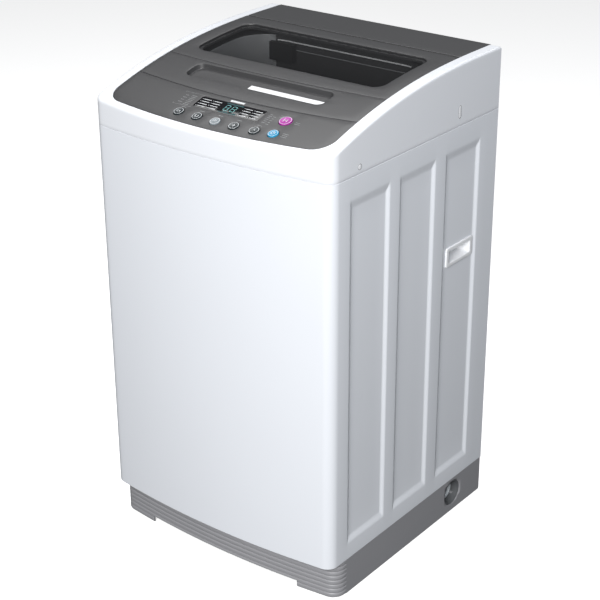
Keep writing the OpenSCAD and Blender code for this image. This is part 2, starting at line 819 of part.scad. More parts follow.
module support_plate() color("silver") difference() {
    translate([-110, -95, plate_z]) cube([330, 190, plate_t]);
    up(plate_z - 1) cylinder(r = housing_r + 0.5, h = 9);
    translate([valve_x + 34, link_y, plate_z - 1]) cylinder(r = 30, h = 9);
}

module gearbox() color("darkgray") difference() {
    union() {
        up(gearbox_z) cylinder(r = gearbox_r, h = plate_z - 8 - gearbox_z);
        up(plate_z - 8) cylinder(r = 75, h = 8);
        up(plate_z - 1) cylinder(r = housing_r, h = 27);
        translate([lever_pivot[0], lever_pivot[1], 249]) cylinder(r = 5, h = 33);
        translate([lever_pivot[0] - 5, lever_pivot[1], 262]) cube([10, 24, 20]);
    }
    up(301) cylinder(r = spin_tube_r + 0.06, h = 50);
    up(294) cylinder(r = output_r + 0.06, h = 20);
    up(gearbox_z - 1) cylinder(r = input_r + 0.06, h = 60);
}

module motor() color("gray") {
    difference() {
        translate([motor_off, 0, motor_z]) cylinder(r = motor_r, h = motor_h);
        translate([motor_off, 0, motor_z - 1]) cylinder(r = output_r + 0.06, h = 60);
    }
    for (a = [60:120:300]) translate([motor_off, 0, motor_z + motor_h]) rotate(a) translate([46, 0, 0]) {
        cylinder(r = 8, h = plate_z - motor_z - motor_h);
        up(plate_z + plate_t - motor_z - motor_h) cylinder(r = 7, h = 4, $fn = 6);
    }
}

// Outline of a belt run round both pulleys, t outside their grooves
module belt_outline(t) {
    r0 = big_groove_r + t;
    r1 = small_groove_r + t;
    lean = acos((r0 - r1) / motor_off);
    polygon(concat(
        [for (i = [0:36]) let (a = lean + (360 - 2 * lean) * i / 36) [r0 * cos(a), r0 * sin(a)]],
        [for (i = [0:20]) let (a = -lean + 2 * lean * i / 20) [motor_off + r1 * cos(a), r1 * sin(a)]]));
}

module belt() color("black") up(pulley_z + flange) linear_extrude(pulley_h - 2 * flange) difference() {
    belt_outline(belt_gap + belt_t);
    belt_outline(belt_gap);
}

module pulley(groove_r, shaft_r, shaft_top) {
    lip = flange - 0.6;
    cylinder(r = groove_r + 6, h = lip);
    cylinder(r = groove_r, h = pulley_h);
    up(pulley_h - lip) cylinder(r = groove_r + 6, h = lip);
    up(-4) cylinder(r = shaft_r, h = shaft_top - pulley_z + 4);
}

module drive_pulley() color("silver") up(pulley_z) pulley(big_groove_r, input_r, gearbox_z + 55);

module motor_pulley() color("silver") translate([motor_off, 0, pulley_z])
    pulley(small_groove_r, output_r, motor_z + 55);

// ---- Drain and brake ----

module drain_valve() color("whitesmoke") difference() {
    union() {
        translate([valve_x, link_y, link_z + 2]) rotate([0, 90, 0]) cylinder(r = 20, h = 58);
        translate([valve_x + 34, link_y, link_z + 2]) cylinder(r = 13.9, h = tub_floor_z + 2 - link_z);
        translate([valve_x + 34, link_y, 214]) cylinder(r = 14, h = 20);
    }
    translate([valve_x - 1, link_y, link_z + 2]) rotate([0, 90, 0]) cylinder(r = 6, h = 20);
    translate([valve_x + 34, link_y, 210]) cylinder(r = 11, h = 16);
}

module drain_actuator() color("black") difference() {
    translate([-185, -146, 234]) cube([60, 48, 34]);
    translate([-160, link_y - 7, link_z - 3]) cube([50, 14, link_t + 6]);
}

// Link that the actuator pulls: a slotted bar with the valve's plunger
module pull_link() color("silver") difference() {
    union() {
        translate([-140, link_y - 5, link_z]) cube([valve_x + 130, 10, link_t]);
        translate([lever_pivot[0] - 12, link_y - 11, link_z]) cube([24, 22, link_t]);
        translate([valve_x - 12, link_y, link_z + 2]) rotate([0, 90, 0]) cylinder(r = 5, h = 28);
    }
    translate([lever_pivot[0] - 4, link_y - 8, link_z - 1]) cube([8, 16, link_t + 2]);
}

module brake_lever() color("goldenrod") difference() {
    union() {
        translate([lever_pivot[0], lever_pivot[1], link_z + 6]) cylinder(r = 9, h = 4);
        translate([lever_pivot[0] - 5, lever_pivot[1] - lever_arm, link_z + 6]) cube([10, lever_arm, 4]);
        translate([lever_pivot[0], lever_pivot[1] - lever_arm, link_z - 2]) cylinder(r = 3, h = 10);
    }
    translate([lever_pivot[0], lever_pivot[1], link_z + 4]) cylinder(r = 5.06, h = 9);
}

HOSE_ROUTE = [[valve_x + 34, link_y, 214], [valve_x + 34, link_y, 204], [valve_x + 34, link_y, 180],
    [112, -100, 130], [156, -40, 96], [184, 40, 76], [190, 106, 56], [198, 135, 46],
    [212, back(port_back), port_z], [219, back(port_back), port_z], [226, back(port_back), port_z]];
module drain_hose() color("lightgray") tube(smooth(HOSE_ROUTE, 4), 14, 12);

module drain_outlet() color("gray") translate([0, back(port_back), port_z]) rotate([0, 90, 0]) difference() {
    union() {
        up(half_w - 24) cylinder(r = port_r, h = 23);
        up(half_w - 31.5) cylinder(r = 14, h = 9);
    }
    up(half_w - 20) cylinder(r = port_r - 2.5, h = 30);
    up(half_w - 40) cylinder(r = 9, h = 30);
}

// ---- Basket and pulsator ----

module basket() color("silver") {
    steel = 1.2;
    difference() {
        ring(basket_r, basket_r + steel, basket_z, basket_z + basket_h);
        for (row = [0:5], col = [0:11]) up(basket_z + 50 + row * 45) rotate(col * 30 + (row % 2) * 15)
            rotate([0, 90, 0]) cylinder(r = 3, h = 230, $fn = 16);
    }
    ring(25, basket_r, basket_z, basket_z + 2);
}

module balance_ring() color("whitesmoke")
    rotate_extrude($fn = 96) translate([basket_r - 16, basket_z + basket_h]) square([23, 32]);

module hub_flange() color("silver") difference() {
    union() {
        up(basket_z - 6) cylinder(r = 70, h = 6);
        up(302) cylinder(r = spin_tube_r, h = basket_z + 3 - 302);
    }
    up(290) cylinder(r = output_r + 0.06, h = 90);
}

module lint_filter() color("lightblue") intersection() {
    translate([-45, -basket_r - 5, basket_z + 110]) cube([90, 30, 170]);
    difference() {
        ring(basket_r - 12, basket_r - 0.2, basket_z + 110, basket_z + 280);
        ring(basket_r - 9.5, basket_r + 2, basket_z + 116, basket_z + 274);
        for (i = [0:5]) translate([-34, -basket_r - 10, basket_z + 128 + i * 24]) cube([68, 40, 12]);
    }
}

module impeller() color("whitesmoke") {
    ring(output_r - 1, impeller_r, basket_z + 8, basket_z + 12);
    ring(impeller_r - 4, impeller_r, basket_z + 8, basket_z + 18);
    for (a = [0:60:300]) rotate(a) translate([0, 0, basket_z + 11]) rotate([0, 90, 0]) rotate(90)
        linear_extrude(impeller_r - 8) polygon([[-14, 0], [-5, 14], [5, 14], [14, 0]]);
    up(basket_z + 8) cylinder(r = 30, h = 24);
    up(297) cylinder(r = output_r, h = basket_z + 10 - 297);
}

cabinet();
rear_cover();
screws();
base();
bottom_guard();
fixed_feet();
leveller_foot();
lock_nut();
top_frame();
frame_plugs();
side_grip_right();
side_grip_left();
control_panel();
display_window();
control_box();
circuit_board();
button_program();
button_level();
button_rinse();
button_spin();
button_delay();
button_power();
button_start();
rear_deck();
lid_rear();
lid_window();
lid_pins();
lid_magnet();
lid_front();
handle_trim();
reed_switch();
inlet_valve();
inlet_box();
pressure_switch();
air_tube();
cord_gland();
wiring_harness();
capacitor();
suspension_rods();
spring_cups();
suspension_springs();
outer_tub();
tub_ring();
support_plate();
gearbox();
motor();
belt();
drain_valve();
drain_actuator();
pull_link();
brake_lever();
drain_hose();
drain_outlet();
basket();
balance_ring();
hub_flange();
lint_filter();
impeller();
drive_pulley();
motor_pulley();
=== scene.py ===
# %% [markdown]
# # A compact top load washing machine
# A real machine of this kind is a folded steel wrap on a moulded base, with a moulded white ring on top
# that carries charcoal panels, a two-part lid and the buttons. The mechanism hangs inside.
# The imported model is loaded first, because every piece takes its place and size from it.

# %% Load the frame
import math
import bpy
import bmesh
import numpy as np
from mathutils import Matrix, Vector
from mathutils.geometry import delaunay_2d_cdt


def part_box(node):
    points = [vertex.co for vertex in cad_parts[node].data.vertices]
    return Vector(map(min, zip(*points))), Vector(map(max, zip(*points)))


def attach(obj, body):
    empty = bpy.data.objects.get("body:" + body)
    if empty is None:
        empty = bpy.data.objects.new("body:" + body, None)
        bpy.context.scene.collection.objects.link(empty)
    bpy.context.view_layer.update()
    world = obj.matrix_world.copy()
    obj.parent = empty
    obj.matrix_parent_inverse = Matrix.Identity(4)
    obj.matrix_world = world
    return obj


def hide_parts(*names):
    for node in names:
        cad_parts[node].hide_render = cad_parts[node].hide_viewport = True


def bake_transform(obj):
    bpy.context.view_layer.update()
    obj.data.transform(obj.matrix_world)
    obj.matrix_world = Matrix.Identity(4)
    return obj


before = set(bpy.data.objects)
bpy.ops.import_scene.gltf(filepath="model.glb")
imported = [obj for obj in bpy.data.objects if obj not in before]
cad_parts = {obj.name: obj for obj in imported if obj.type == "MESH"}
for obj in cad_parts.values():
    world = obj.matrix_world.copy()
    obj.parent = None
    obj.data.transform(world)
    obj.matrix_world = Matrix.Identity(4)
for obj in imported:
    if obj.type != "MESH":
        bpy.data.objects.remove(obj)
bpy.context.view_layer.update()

# %% [markdown]
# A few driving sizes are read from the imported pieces, so that the surfaces made here fit them.
# The rest are the small radii and gaps of the real mouldings, in metres.

# %% Driving sizes
MM = 0.001
cabinet_low, cabinet_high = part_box("cabinet")
HALF_W = cabinet_high.x
FRONT_Y = cabinet_low.y
REAR_Y = cabinet_high.y
BASE_TOP = cabinet_low.z
SEAM_Z = cabinet_high.z
CROWN_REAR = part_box("top_frame")[1].z - SEAM_Z
CROWN_FRONT = 40 * MM
CROWN_REACH = 470 * MM
CROWN_POWER = 2.45
BOW = 19 * MM
CORNER_R = 22 * MM
DARK_W = HALF_W - 21.5 * MM
FASCIA_BACK = 12 * MM
LID_BACK, LID_CURVE = 98 * MM, 18 * MM
FOLD_BACK, FOLD_CURVE = 184 * MM, 11 * MM
HINGE_BACK = 408 * MM
DECK_BACK = 413.8 * MM
SHELF_DROP = 18 * MM
LID_SKIRT = 12 * MM
print("cabinet", round(HALF_W * 2, 3), "wide, seam at", round(SEAM_Z, 3))


# %% [markdown]
# The top of the machine is one long curve from front to rear. Every panel on it is a flat shape
# in plan, dropped onto that curve, so a single height function keeps them all flush.

# %% The curve of the top, and the bow of the front
def crown(y):
    """Height of the top: a power curve that rises from the front and runs level at the rear."""
    ahead = np.clip(CROWN_REACH - (np.asarray(y) - FRONT_Y), 0, None) / CROWN_REACH
    return SEAM_Z + CROWN_REAR - (CROWN_REAR - CROWN_FRONT) * ahead ** CROWN_POWER


def bow_y(x, back):
    """The front line: a shallow parabola across, moved back by a distance."""
    return FRONT_Y + back + BOW * (np.asarray(x) / HALF_W) ** 2


def mirrored(half):
    """Closes a right-hand half outline, front middle to rear middle, with its mirror image."""
    left = half[-2:0:-1].copy()
    left[:, 0] *= -1
    return np.vstack([half, left])


def both_sides(half):
    """A right-hand path, front middle to rear, with its mirror image run in before it."""
    left = half[:0:-1].copy()
    left[:, 0] *= -1
    return np.vstack([left, half])


def once_round(steps):
    """Equal angles round a full turn."""
    return np.linspace(0, 2 * math.pi, steps, endpoint=False)


def bowed_half(half, back, corner, side_y, n_front=22, n_corner=10):
    """Right half: the bow to where it meets a round corner, the corner's arc, then the side's points."""
    lean = math.atan(2 * BOW * (half - corner) / HALF_W ** 2)
    start = half - corner + corner * math.sin(lean)
    x = np.linspace(0, start, n_front, endpoint=False)
    turn = np.linspace(lean - math.pi / 2, 0, n_corner)
    middle = bow_y(start, back) + corner * math.cos(lean)
    side_y = np.maximum(np.asarray(side_y), middle + 0.1 * MM)
    return np.vstack([
        np.column_stack([x, bow_y(x, back)]),
        np.column_stack([half - corner + corner * np.cos(turn), middle + corner * np.sin(turn)]),
        np.column_stack([np.full(len(side_y), half), side_y]),
    ])


def normals_2d(path, closed=True):
    """Unit normals of a path: each point's tangent turned a quarter turn to the right."""
    if closed:
        ahead, behind = np.roll(path, -1, 0), np.roll(path, 1, 0)
    else:
        ahead = np.vstack([path[1:], 2 * path[-1] - path[-2]])
        behind = np.vstack([2 * path[0] - path[1], path[:-1]])
    out, into = ahead - path, path - behind
    out /= np.maximum(np.linalg.norm(out, axis=1), 1e-9)[:, None]
    into /= np.maximum(np.linalg.norm(into, axis=1), 1e-9)[:, None]
    tangent = out + into
    tangent /= np.maximum(np.linalg.norm(tangent, axis=1), 1e-9)[:, None]
    half_turn = np.sqrt(np.clip((1 + (out * into).sum(1)) / 2, 0.3, 1))
    return np.column_stack([tangent[:, 1], -tangent[:, 0]]) / half_turn[:, None]


# %% [markdown]
# Every new piece is built the same way: one or more grids of points worked out with numpy, welded
# where they meet, and turned so that their faces point outwards. Working on whole arrays keeps
# the formulas readable, and the mesh gets exactly the points that its shape needs.

# %% Grids of points into meshes
def grid_faces(rows, cols, wrap_rows, wrap_cols):
    """Four-sided faces of a rows by cols grid, as indices into its flattened points."""
    index = np.arange(rows * cols).reshape(rows, cols)
    if wrap_rows:
        index = np.vstack([index, index[:1]])
    if wrap_cols:
        index = np.hstack([index, index[:, :1]])
    return np.stack([index[:-1, :-1], index[1:, :-1], index[1:, 1:], index[:-1, 1:]], -1).reshape(-1, 4)


class Shape:
    """Collects grids and faces, then welds them into one mesh."""

    def __init__(self):
        self.points, self.faces, self.count = [], [], 0

    def add(self, points, faces):
        self.points.append(np.asarray(points, float).reshape(-1, 3))
        faces = np.asarray(faces)
        if faces.shape[1] == 3:
            faces = np.column_stack([faces, faces[:, 2]])
        self.faces.append(faces + self.count)
        self.count += len(self.points[-1])
        return self

    def grid(self, points, wrap_rows=False, wrap_cols=False):
        rows, cols = points.shape[:2]
        return self.add(points, grid_faces(rows, cols, wrap_rows, wrap_cols))

    def fan(self, ring):
        """Closes a ring of points with triangles to its middle."""
        n = len(ring)
        k = np.arange(n)
        middle = np.asarray(ring).mean(0)[None]
        return self.add(np.vstack([ring, middle]), np.column_stack([k, (k + 1) % n, np.full(n, n)]))


def welded(points, faces):
    """Merges points closer than a hundredth of a millimetre and drops faces that vanish."""
    keys = np.round(points * 1e5).astype(np.int64)
    _, first, back = np.unique(keys, axis=0, return_index=True, return_inverse=True)
    faces = back.reshape(-1)[faces]
    corners = []
    for face in faces.tolist():
        kept = [v for i, v in enumerate(face) if v != face[i - 1]]
        if len(set(kept)) >= 3 and len(set(kept)) == len(kept):
            corners.append(kept)
    used, order = np.unique(np.concatenate([np.asarray(face) for face in corners]), return_inverse=True)
    ends = np.cumsum([len(face) for face in corners])[:-1]
    return points[first][used], [face.tolist() for face in np.split(order, ends)]


def make(name, shape, material, body, replaces=(), smooth=32, turn=True):
    """Makes the mesh object, gives it its finish, and puts it on its body, if it has one."""
    points, faces = welded(np.vstack(shape.points), np.vstack(shape.faces))
    mesh = bpy.data.meshes.new(name)
    mesh.from_pydata(points.tolist(), [], faces)
    mesh.update()
    if turn:
        work = bmesh.new()
        work.from_mesh(mesh)
        bmesh.ops.recalc_face_normals(work, faces=work.faces)
        work.to_mesh(mesh)
        work.free()
    mesh.shade_smooth()
    mesh.set_sharp_from_angle(angle=math.radians(smooth))
    piece = bpy.data.objects.new(name, mesh)
    bpy.context.scene.collection.objects.link(piece)
    mesh.materials.append(material)
    if body:
        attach(piece, body)
    if replaces:
        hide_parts(*replaces)
    open_edges = len(mesh.edges) * 2 - len(mesh.loops)
    print(name, len(mesh.vertices), "points,", len(mesh.polygons), "faces,", open_edges, "open")
    return piece


# %% [markdown]
# The machine stands on a plain white floor in soft studio light, as for a catalogue. The main light is
# a large panel ahead and to the right, so the bowed front brightens towards its right edge and the side
# falls into a soft shade. The floor is lit from below like a light table, which keeps it white; its glow
# is kept off the machine, because it would wash out the pressings in the side.

# %% Camera
AZIMUTH, ELEVATION, ROLL = (math.radians(v) for v in (37.914, 24.978, -0.284))
DISTANCE = 2.8585
AIM = Vector((0.0072, -0.0036, 0.4399))
away = Vector((math.sin(AZIMUTH) * math.cos(ELEVATION), -math.cos(AZIMUTH) * math.cos(ELEVATION),
               math.sin(ELEVATION)))
level = Vector((math.cos(AZIMUTH), math.sin(AZIMUTH), 0))
upward = away.cross(level)
across = level * math.cos(ROLL) + upward * math.sin(ROLL)
upright = upward * math.cos(ROLL) - level * math.sin(ROLL)
camera = bpy.data.objects.new("camera", bpy.data.cameras.new("camera"))
camera.data.lens = 92.82
camera.data.sensor_width = 36
facing = Matrix((across, upright, away)).transposed()
camera.matrix_world = Matrix.LocRotScale(AIM + away * DISTANCE, facing, None)
bpy.context.scene.collection.objects.link(camera)
bpy.context.scene.camera = camera
print("camera", [round(v, 3) for v in camera.location])


# %% Floor and lights
def panel_light(name, place, aim, size, power, tint=(1, 1, 1)):
    """A square area light at a place, turned to face a point."""
    lamp = bpy.data.lights.new(name, "AREA")
    lamp.shape = "RECTANGLE"
    lamp.size, lamp.size_y = size
    lamp.energy = power
    lamp.color = tint
    holder = bpy.data.objects.new(name, lamp)
    holder.location = place
    holder.rotation_euler = (Vector(aim) - Vector(place)).to_track_quat("-Z", "Y").to_euler()
    bpy.context.scene.collection.objects.link(holder)
    return holder


def white_floor(half_side):
    """One large sheet at z = 0 that runs past the picture on every side."""
    mesh = bpy.data.meshes.new("floor")
    corners = [(-half_side, -half_side, 0), (half_side, -half_side, 0),
               (half_side, half_side, 0), (-half_side, half_side, 0)]
    mesh.from_pydata(corners, [], [(0, 1, 2, 3)])
    paper = bpy.data.materials.new("floor_paper")
    paper.use_nodes = True
    settings = {"Base Color": (0.93, 0.93, 0.93, 1), "Roughness": 0.9,
                "Emission Color": (1, 1, 1, 1), "Emission Strength": 0.62}
    for key, value in settings.items():
        paper.node_tree.nodes["Principled BSDF"].inputs[key].default_value = value
    mesh.materials.append(paper)
    sheet = bpy.data.objects.new("floor", mesh)
    bpy.context.scene.collection.objects.link(sheet)
    sheet.visible_diffuse = False
    sheet.visible_glossy = False


white_floor(12)
panel_light("key", (1.45, -2.75, 1.9), (0, 0, 0.42), (1.5, 1.7), 130)
panel_light("side_top", (1.5, 0.4, 1.9), (0.25, 0, 0.85), (0.7, 0.7), 4.0, (0.88, 0.93, 1))
panel_light("overhead", (-0.5, 0.6, 3.2), (0, 0, 0.6), (2.2, 2.2), 58)
world = bpy.data.worlds.new("studio")
world.use_nodes = True
world.node_tree.nodes["Background"].inputs["Color"].default_value = (0.93, 0.96, 1, 1)
world.node_tree.nodes["Background"].inputs["Strength"].default_value = 0.13
bpy.context.scene.world = world
bpy.context.scene.view_settings.view_transform = "Standard"
print("lights", [lamp.name for lamp in bpy.data.lights])

# %% [markdown]
# The finishes come next. A moulded or painted surface is never one flat colour: moulding leaves a
# fine grain, enamel has a faint orange peel, and dust softens the gloss unevenly. Those effects are
# shared, so each is a node group that every finish uses with its own numbers.

# %% Node groups that finishes share
def new_group(name, inputs, outputs):
    """An empty shader group with named sockets; inputs are (name, kind, value)."""
    group = bpy.data.node_groups.new(name, "ShaderNodeTree")
    for label, kind, value in inputs:
        socket = group.interface.new_socket(label, in_out="INPUT", socket_type=kind)
        if value is not None:
            socket.default_value = value
    for label, kind in outputs:
        group.interface.new_socket(label, in_out="OUTPUT", socket_type=kind)
    return group, group.nodes.new("NodeGroupInput"), group.nodes.new("NodeGroupOutput")


def node(tree, kind, **values):
    """A new node; keywords set its properties, or its inputs when they name a socket."""
    made = tree.nodes.new(kind)
    for key, value in values.items():
        if key in made.inputs:
            made.inputs[key].default_value = value
        else:
            setattr(made, key, value)
    return made


def worked_out(tree, operation, *terms, kind="ShaderNodeMath"):
    """The output of a math node; each term is a socket to link or a number to set."""
    made = tree.nodes.new(kind)
    made.operation = operation
    slots = [made.inputs[0], made.inputs["Scale"]] if operation == "SCALE" else made.inputs
    for slot, term in zip(slots, terms):
        if isinstance(term, bpy.types.NodeSocket):
            tree.links.new(term, slot)
        else:
            slot.default_value = term
    return made.outputs[0]


SURFACE_OUTPUTS = [("Color", "NodeSocketColor"), ("Roughness", "NodeSocketFloat"),
                   ("Height", "NodeSocketFloat")]


def surface_group():
    """Fine grain from tight noise, a slow mottle, and both mixed into colour, roughness and height."""
    group, enter, leave = new_group("moulded_surface", [
        ("Color", "NodeSocketColor", (0.8, 0.8, 0.8, 1)), ("Roughness", "NodeSocketFloat", 0.4),
        ("Grain Scale", "NodeSocketFloat", 900.0), ("Grain", "NodeSocketFloat", 0.3),
        ("Mottle", "NodeSocketFloat", 0.04)], SURFACE_OUTPUTS)
    link = group.links.new
    place = node(group, "ShaderNodeTexCoord")
    fine = node(group, "ShaderNodeTexNoise", Detail=2.0)
    slow = node(group, "ShaderNodeTexNoise", Scale=5.0, Detail=3.0)
    link(place.outputs["Object"], fine.inputs["Vector"])
    link(place.outputs["Object"], slow.inputs["Vector"])
    link(enter.outputs["Grain Scale"], fine.inputs["Scale"])
    centred = worked_out(group, "SUBTRACT", slow.outputs["Fac"], 0.5)
    swing = worked_out(group, "MULTIPLY_ADD", centred, enter.outputs["Mottle"], 1.0)
    tint = worked_out(group, "SCALE", enter.outputs["Color"], swing, kind="ShaderNodeVectorMath")
    rough = worked_out(group, "MULTIPLY_ADD", centred, 0.04, enter.outputs["Roughness"])
    link(tint, leave.inputs["Color"])
    link(rough, leave.inputs["Roughness"])
    link(worked_out(group, "MULTIPLY", fine.outputs["Fac"], enter.outputs["Grain"]), leave.inputs["Height"])
    return group


def brushed_group():
    """Drawn or brushed metal: noise stretched along Z, as scratches in roughness and height."""
    group, enter, leave = new_group("brushed_surface", [
        ("Color", "NodeSocketColor", (0.7, 0.7, 0.7, 1)), ("Roughness", "NodeSocketFloat", 0.3),
        ("Stretch", "NodeSocketFloat", 0.04)], SURFACE_OUTPUTS)
    link = group.links.new
    place = node(group, "ShaderNodeTexCoord")
    squeeze = node(group, "ShaderNodeCombineXYZ", X=1.0, Y=1.0)
    link(enter.outputs["Stretch"], squeeze.inputs["Z"])
    scaled = worked_out(group, "MULTIPLY", place.outputs["Object"], squeeze.outputs[0],
                        kind="ShaderNodeVectorMath")
    streaks = node(group, "ShaderNodeTexNoise", Scale=1400.0, Detail=3.0)
    link(scaled, streaks.inputs["Vector"])
    rough = worked_out(group, "MULTIPLY_ADD", streaks.outputs["Fac"], 0.15, enter.outputs["Roughness"])
    shade = worked_out(group, "MULTIPLY_ADD", streaks.outputs["Fac"], 0.3, 0.85)
    tint = worked_out(group, "SCALE", enter.outputs["Color"], shade, kind="ShaderNodeVectorMath")
    link(tint, leave.inputs["Color"])
    link(rough, leave.inputs["Roughness"])
    link(streaks.outputs["Fac"], leave.inputs["Height"])
    return group


MOULDED = surface_group()
BRUSHED = brushed_group()


def finish_material(name, group, color, roughness, bump=0.02, depth=0.0002, settings=None, shader=None):
    """A Principled material whose colour, roughness and height come from one of the shared groups."""
    material = bpy.data.materials.new(name)
    material.use_nodes = True
    tree = material.node_tree
    principled = tree.nodes["Principled BSDF"]
    effect = node(tree, "ShaderNodeGroup")
    effect.node_tree = group
    effect.inputs["Color"].default_value = (*color, 1)
    effect.inputs["Roughness"].default_value = roughness
    for key, value in (settings or {}).items():
        effect.inputs[key].default_value = value
    for key, value in (shader or {}).items():
        principled.inputs[key].default_value = value
    relief = node(tree, "ShaderNodeBump", Strength=bump, Distance=depth)
    tree.links.new(effect.outputs["Color"], principled.inputs["Base Color"])
    tree.links.new(effect.outputs["Roughness"], principled.inputs["Roughness"])
    tree.links.new(effect.outputs["Height"], relief.inputs["Height"])
    tree.links.new(relief.outputs["Normal"], principled.inputs["Normal"])
    return material


def moulded(name, color, roughness, grain=0.3, scale=900.0, bump=0.15, mottle=0.05, **shader):
    return finish_material(name, MOULDED, color, roughness, bump, 0.0002,
                           {"Grain": grain, "Grain Scale": scale, "Mottle": mottle}, shader)


def metal(name, color, roughness, stretch=0.04, bump=0.05):
    return finish_material(name, BRUSHED, color, roughness, bump, 0.0001,
                           {"Stretch": stretch}, {"Metallic": 1.0})


# %% Finishes
ENAMEL = moulded("white_enamel", (0.80, 0.825, 0.87), 0.22, scale=260.0, bump=0.03, mottle=0.02)
WHITE_PLASTIC = moulded("white_plastic", (0.82, 0.84, 0.88), 0.28, scale=700.0, bump=0.05, mottle=0.02)
CHARCOAL = moulded("charcoal_plastic", (0.054, 0.054, 0.056), 0.38, scale=1500.0, bump=0.22, mottle=0.10)
SOCKET_GREY = moulded("socket_plastic", (0.10, 0.105, 0.11), 0.35, scale=900.0, bump=0.1)
GREY_BASE = moulded("grey_base_plastic", (0.31, 0.31, 0.325), 0.42, scale=1200.0, bump=0.2, mottle=0.10)
# Real dark plastic for the bottom guard and spring cups; on the collar and round the frame caps the same
# charcoal is painted shade.
DARK_PLASTIC_AND_SHADE = moulded("dark_plastic_and_painted_shade", (0.050, 0.050, 0.052), 0.40, scale=1200.0, bump=0.2)
# A mid grey that paints the light falling on the collar's left wall and the fainter highlight on its lower
# bead.
PAINTED_LIGHT_GREY = moulded("painted_light_grey_plastic", (0.30, 0.31, 0.32), 0.30, scale=900.0, bump=0.1)
PALE_PLASTIC = moulded("pale_plastic", (0.56, 0.60, 0.63), 0.38, scale=800.0, bump=0.1)
BLACK_GLOSS = moulded("black_gloss", (0.006, 0.006, 0.007), 0.08, grain=0.1, scale=300.0, bump=0.01)
BLACK_PLASTIC = moulded("black_plastic", (0.018, 0.018, 0.019), 0.45, scale=1200.0, bump=0.2)
RUBBER = moulded("black_rubber", (0.025, 0.025, 0.026), 0.62, scale=1500.0, bump=0.3)
STEEL = metal("drawn_steel", (0.60, 0.61, 0.63), 0.22)
STAINLESS = metal("brushed_stainless", (0.70, 0.71, 0.72), 0.24, stretch=12.0)
ZINC = metal("zinc_plate", (0.66, 0.67, 0.69), 0.30, stretch=1.0)
CAST = metal("cast_alloy", (0.46, 0.46, 0.48), 0.46, stretch=1.0, bump=0.2)
# A near-white, lighter than the frame's white plastic: it paints the reflection of the metallised handle bar
# and the highlights on the grips, caps and the collar's upper bead.
WHITE_PAINTED_HIGHLIGHT = moulded("white_painted_highlight", (0.90, 0.91, 0.93), 0.20, grain=0.1, scale=500.0, bump=0.01, mottle=0.02)
print("finishes", len(bpy.data.materials))

# %% [markdown]
# The cabinet is one steel sheet, bent round the bowed front and pressed with three tall shallow
# panels on each side. The sheet is a section carried along the plan outline: its outer face moves
# inwards inside each pressing by a ramp of the distance to the pressing's nearest edge, which gives
# the straight sloped walls and the mitred corners of real tooling.

# %% Cabinet
SHEET = 1.0 * MM
PRESS_DEPTH = 4.0 * MM
PRESS_RUN = 9 * MM
PRESS_LOW, PRESS_HIGH = 106 * MM, 754 * MM
PRESS_LOW_RUN, PRESS_HIGH_RUN = 14 * MM, 18 * MM
PRESS_BACK = np.array([[66, 178], [206, 314], [345, 456]]) * MM
REAR_LIP = 18 * MM


def eased(t):
    """A ramp from 0 to 1, straight in the middle and rounded at both ends."""
    t = np.clip(t, 0, 1)
    return 0.45 * t + 0.55 * t * t * (3 - 2 * t)


def pressing_depth(back, z):
    """How deep the side is pressed: the ramp of the nearest edge's distance, in each of three panels."""
    depth = np.zeros(np.broadcast(back, z).shape)
    for start, end in PRESS_BACK:
        across = np.minimum(back - start, end - back) / PRESS_RUN
        upright = np.minimum((z - PRESS_LOW) / PRESS_LOW_RUN, (PRESS_HIGH - z) / PRESS_HIGH_RUN)
        depth = np.maximum(depth, PRESS_DEPTH * eased(np.minimum(across, upright)))
    return depth


def spaced(edges, fine, step):
    """Levels that are fine over each (start, end) stretch and a step apart elsewhere."""
    marks = [np.linspace(a, b, fine) for a, b in edges]
    ends = np.concatenate(marks)
    plain = np.arange(ends.min(), ends.max(), step)
    far = np.min(np.abs(plain[:, None] - ends[None]), axis=1) > step * 0.3
    return np.unique(np.round(np.concatenate([ends, plain[far]]), 6))


grip_low, grip_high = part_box("side_grip_right")
GRIP_Y = (grip_low.y + grip_high.y) / 2
GRIP_Z = (grip_low.z + grip_high.z) / 2
OPENING = (38.5 * MM, 14.5 * MM)


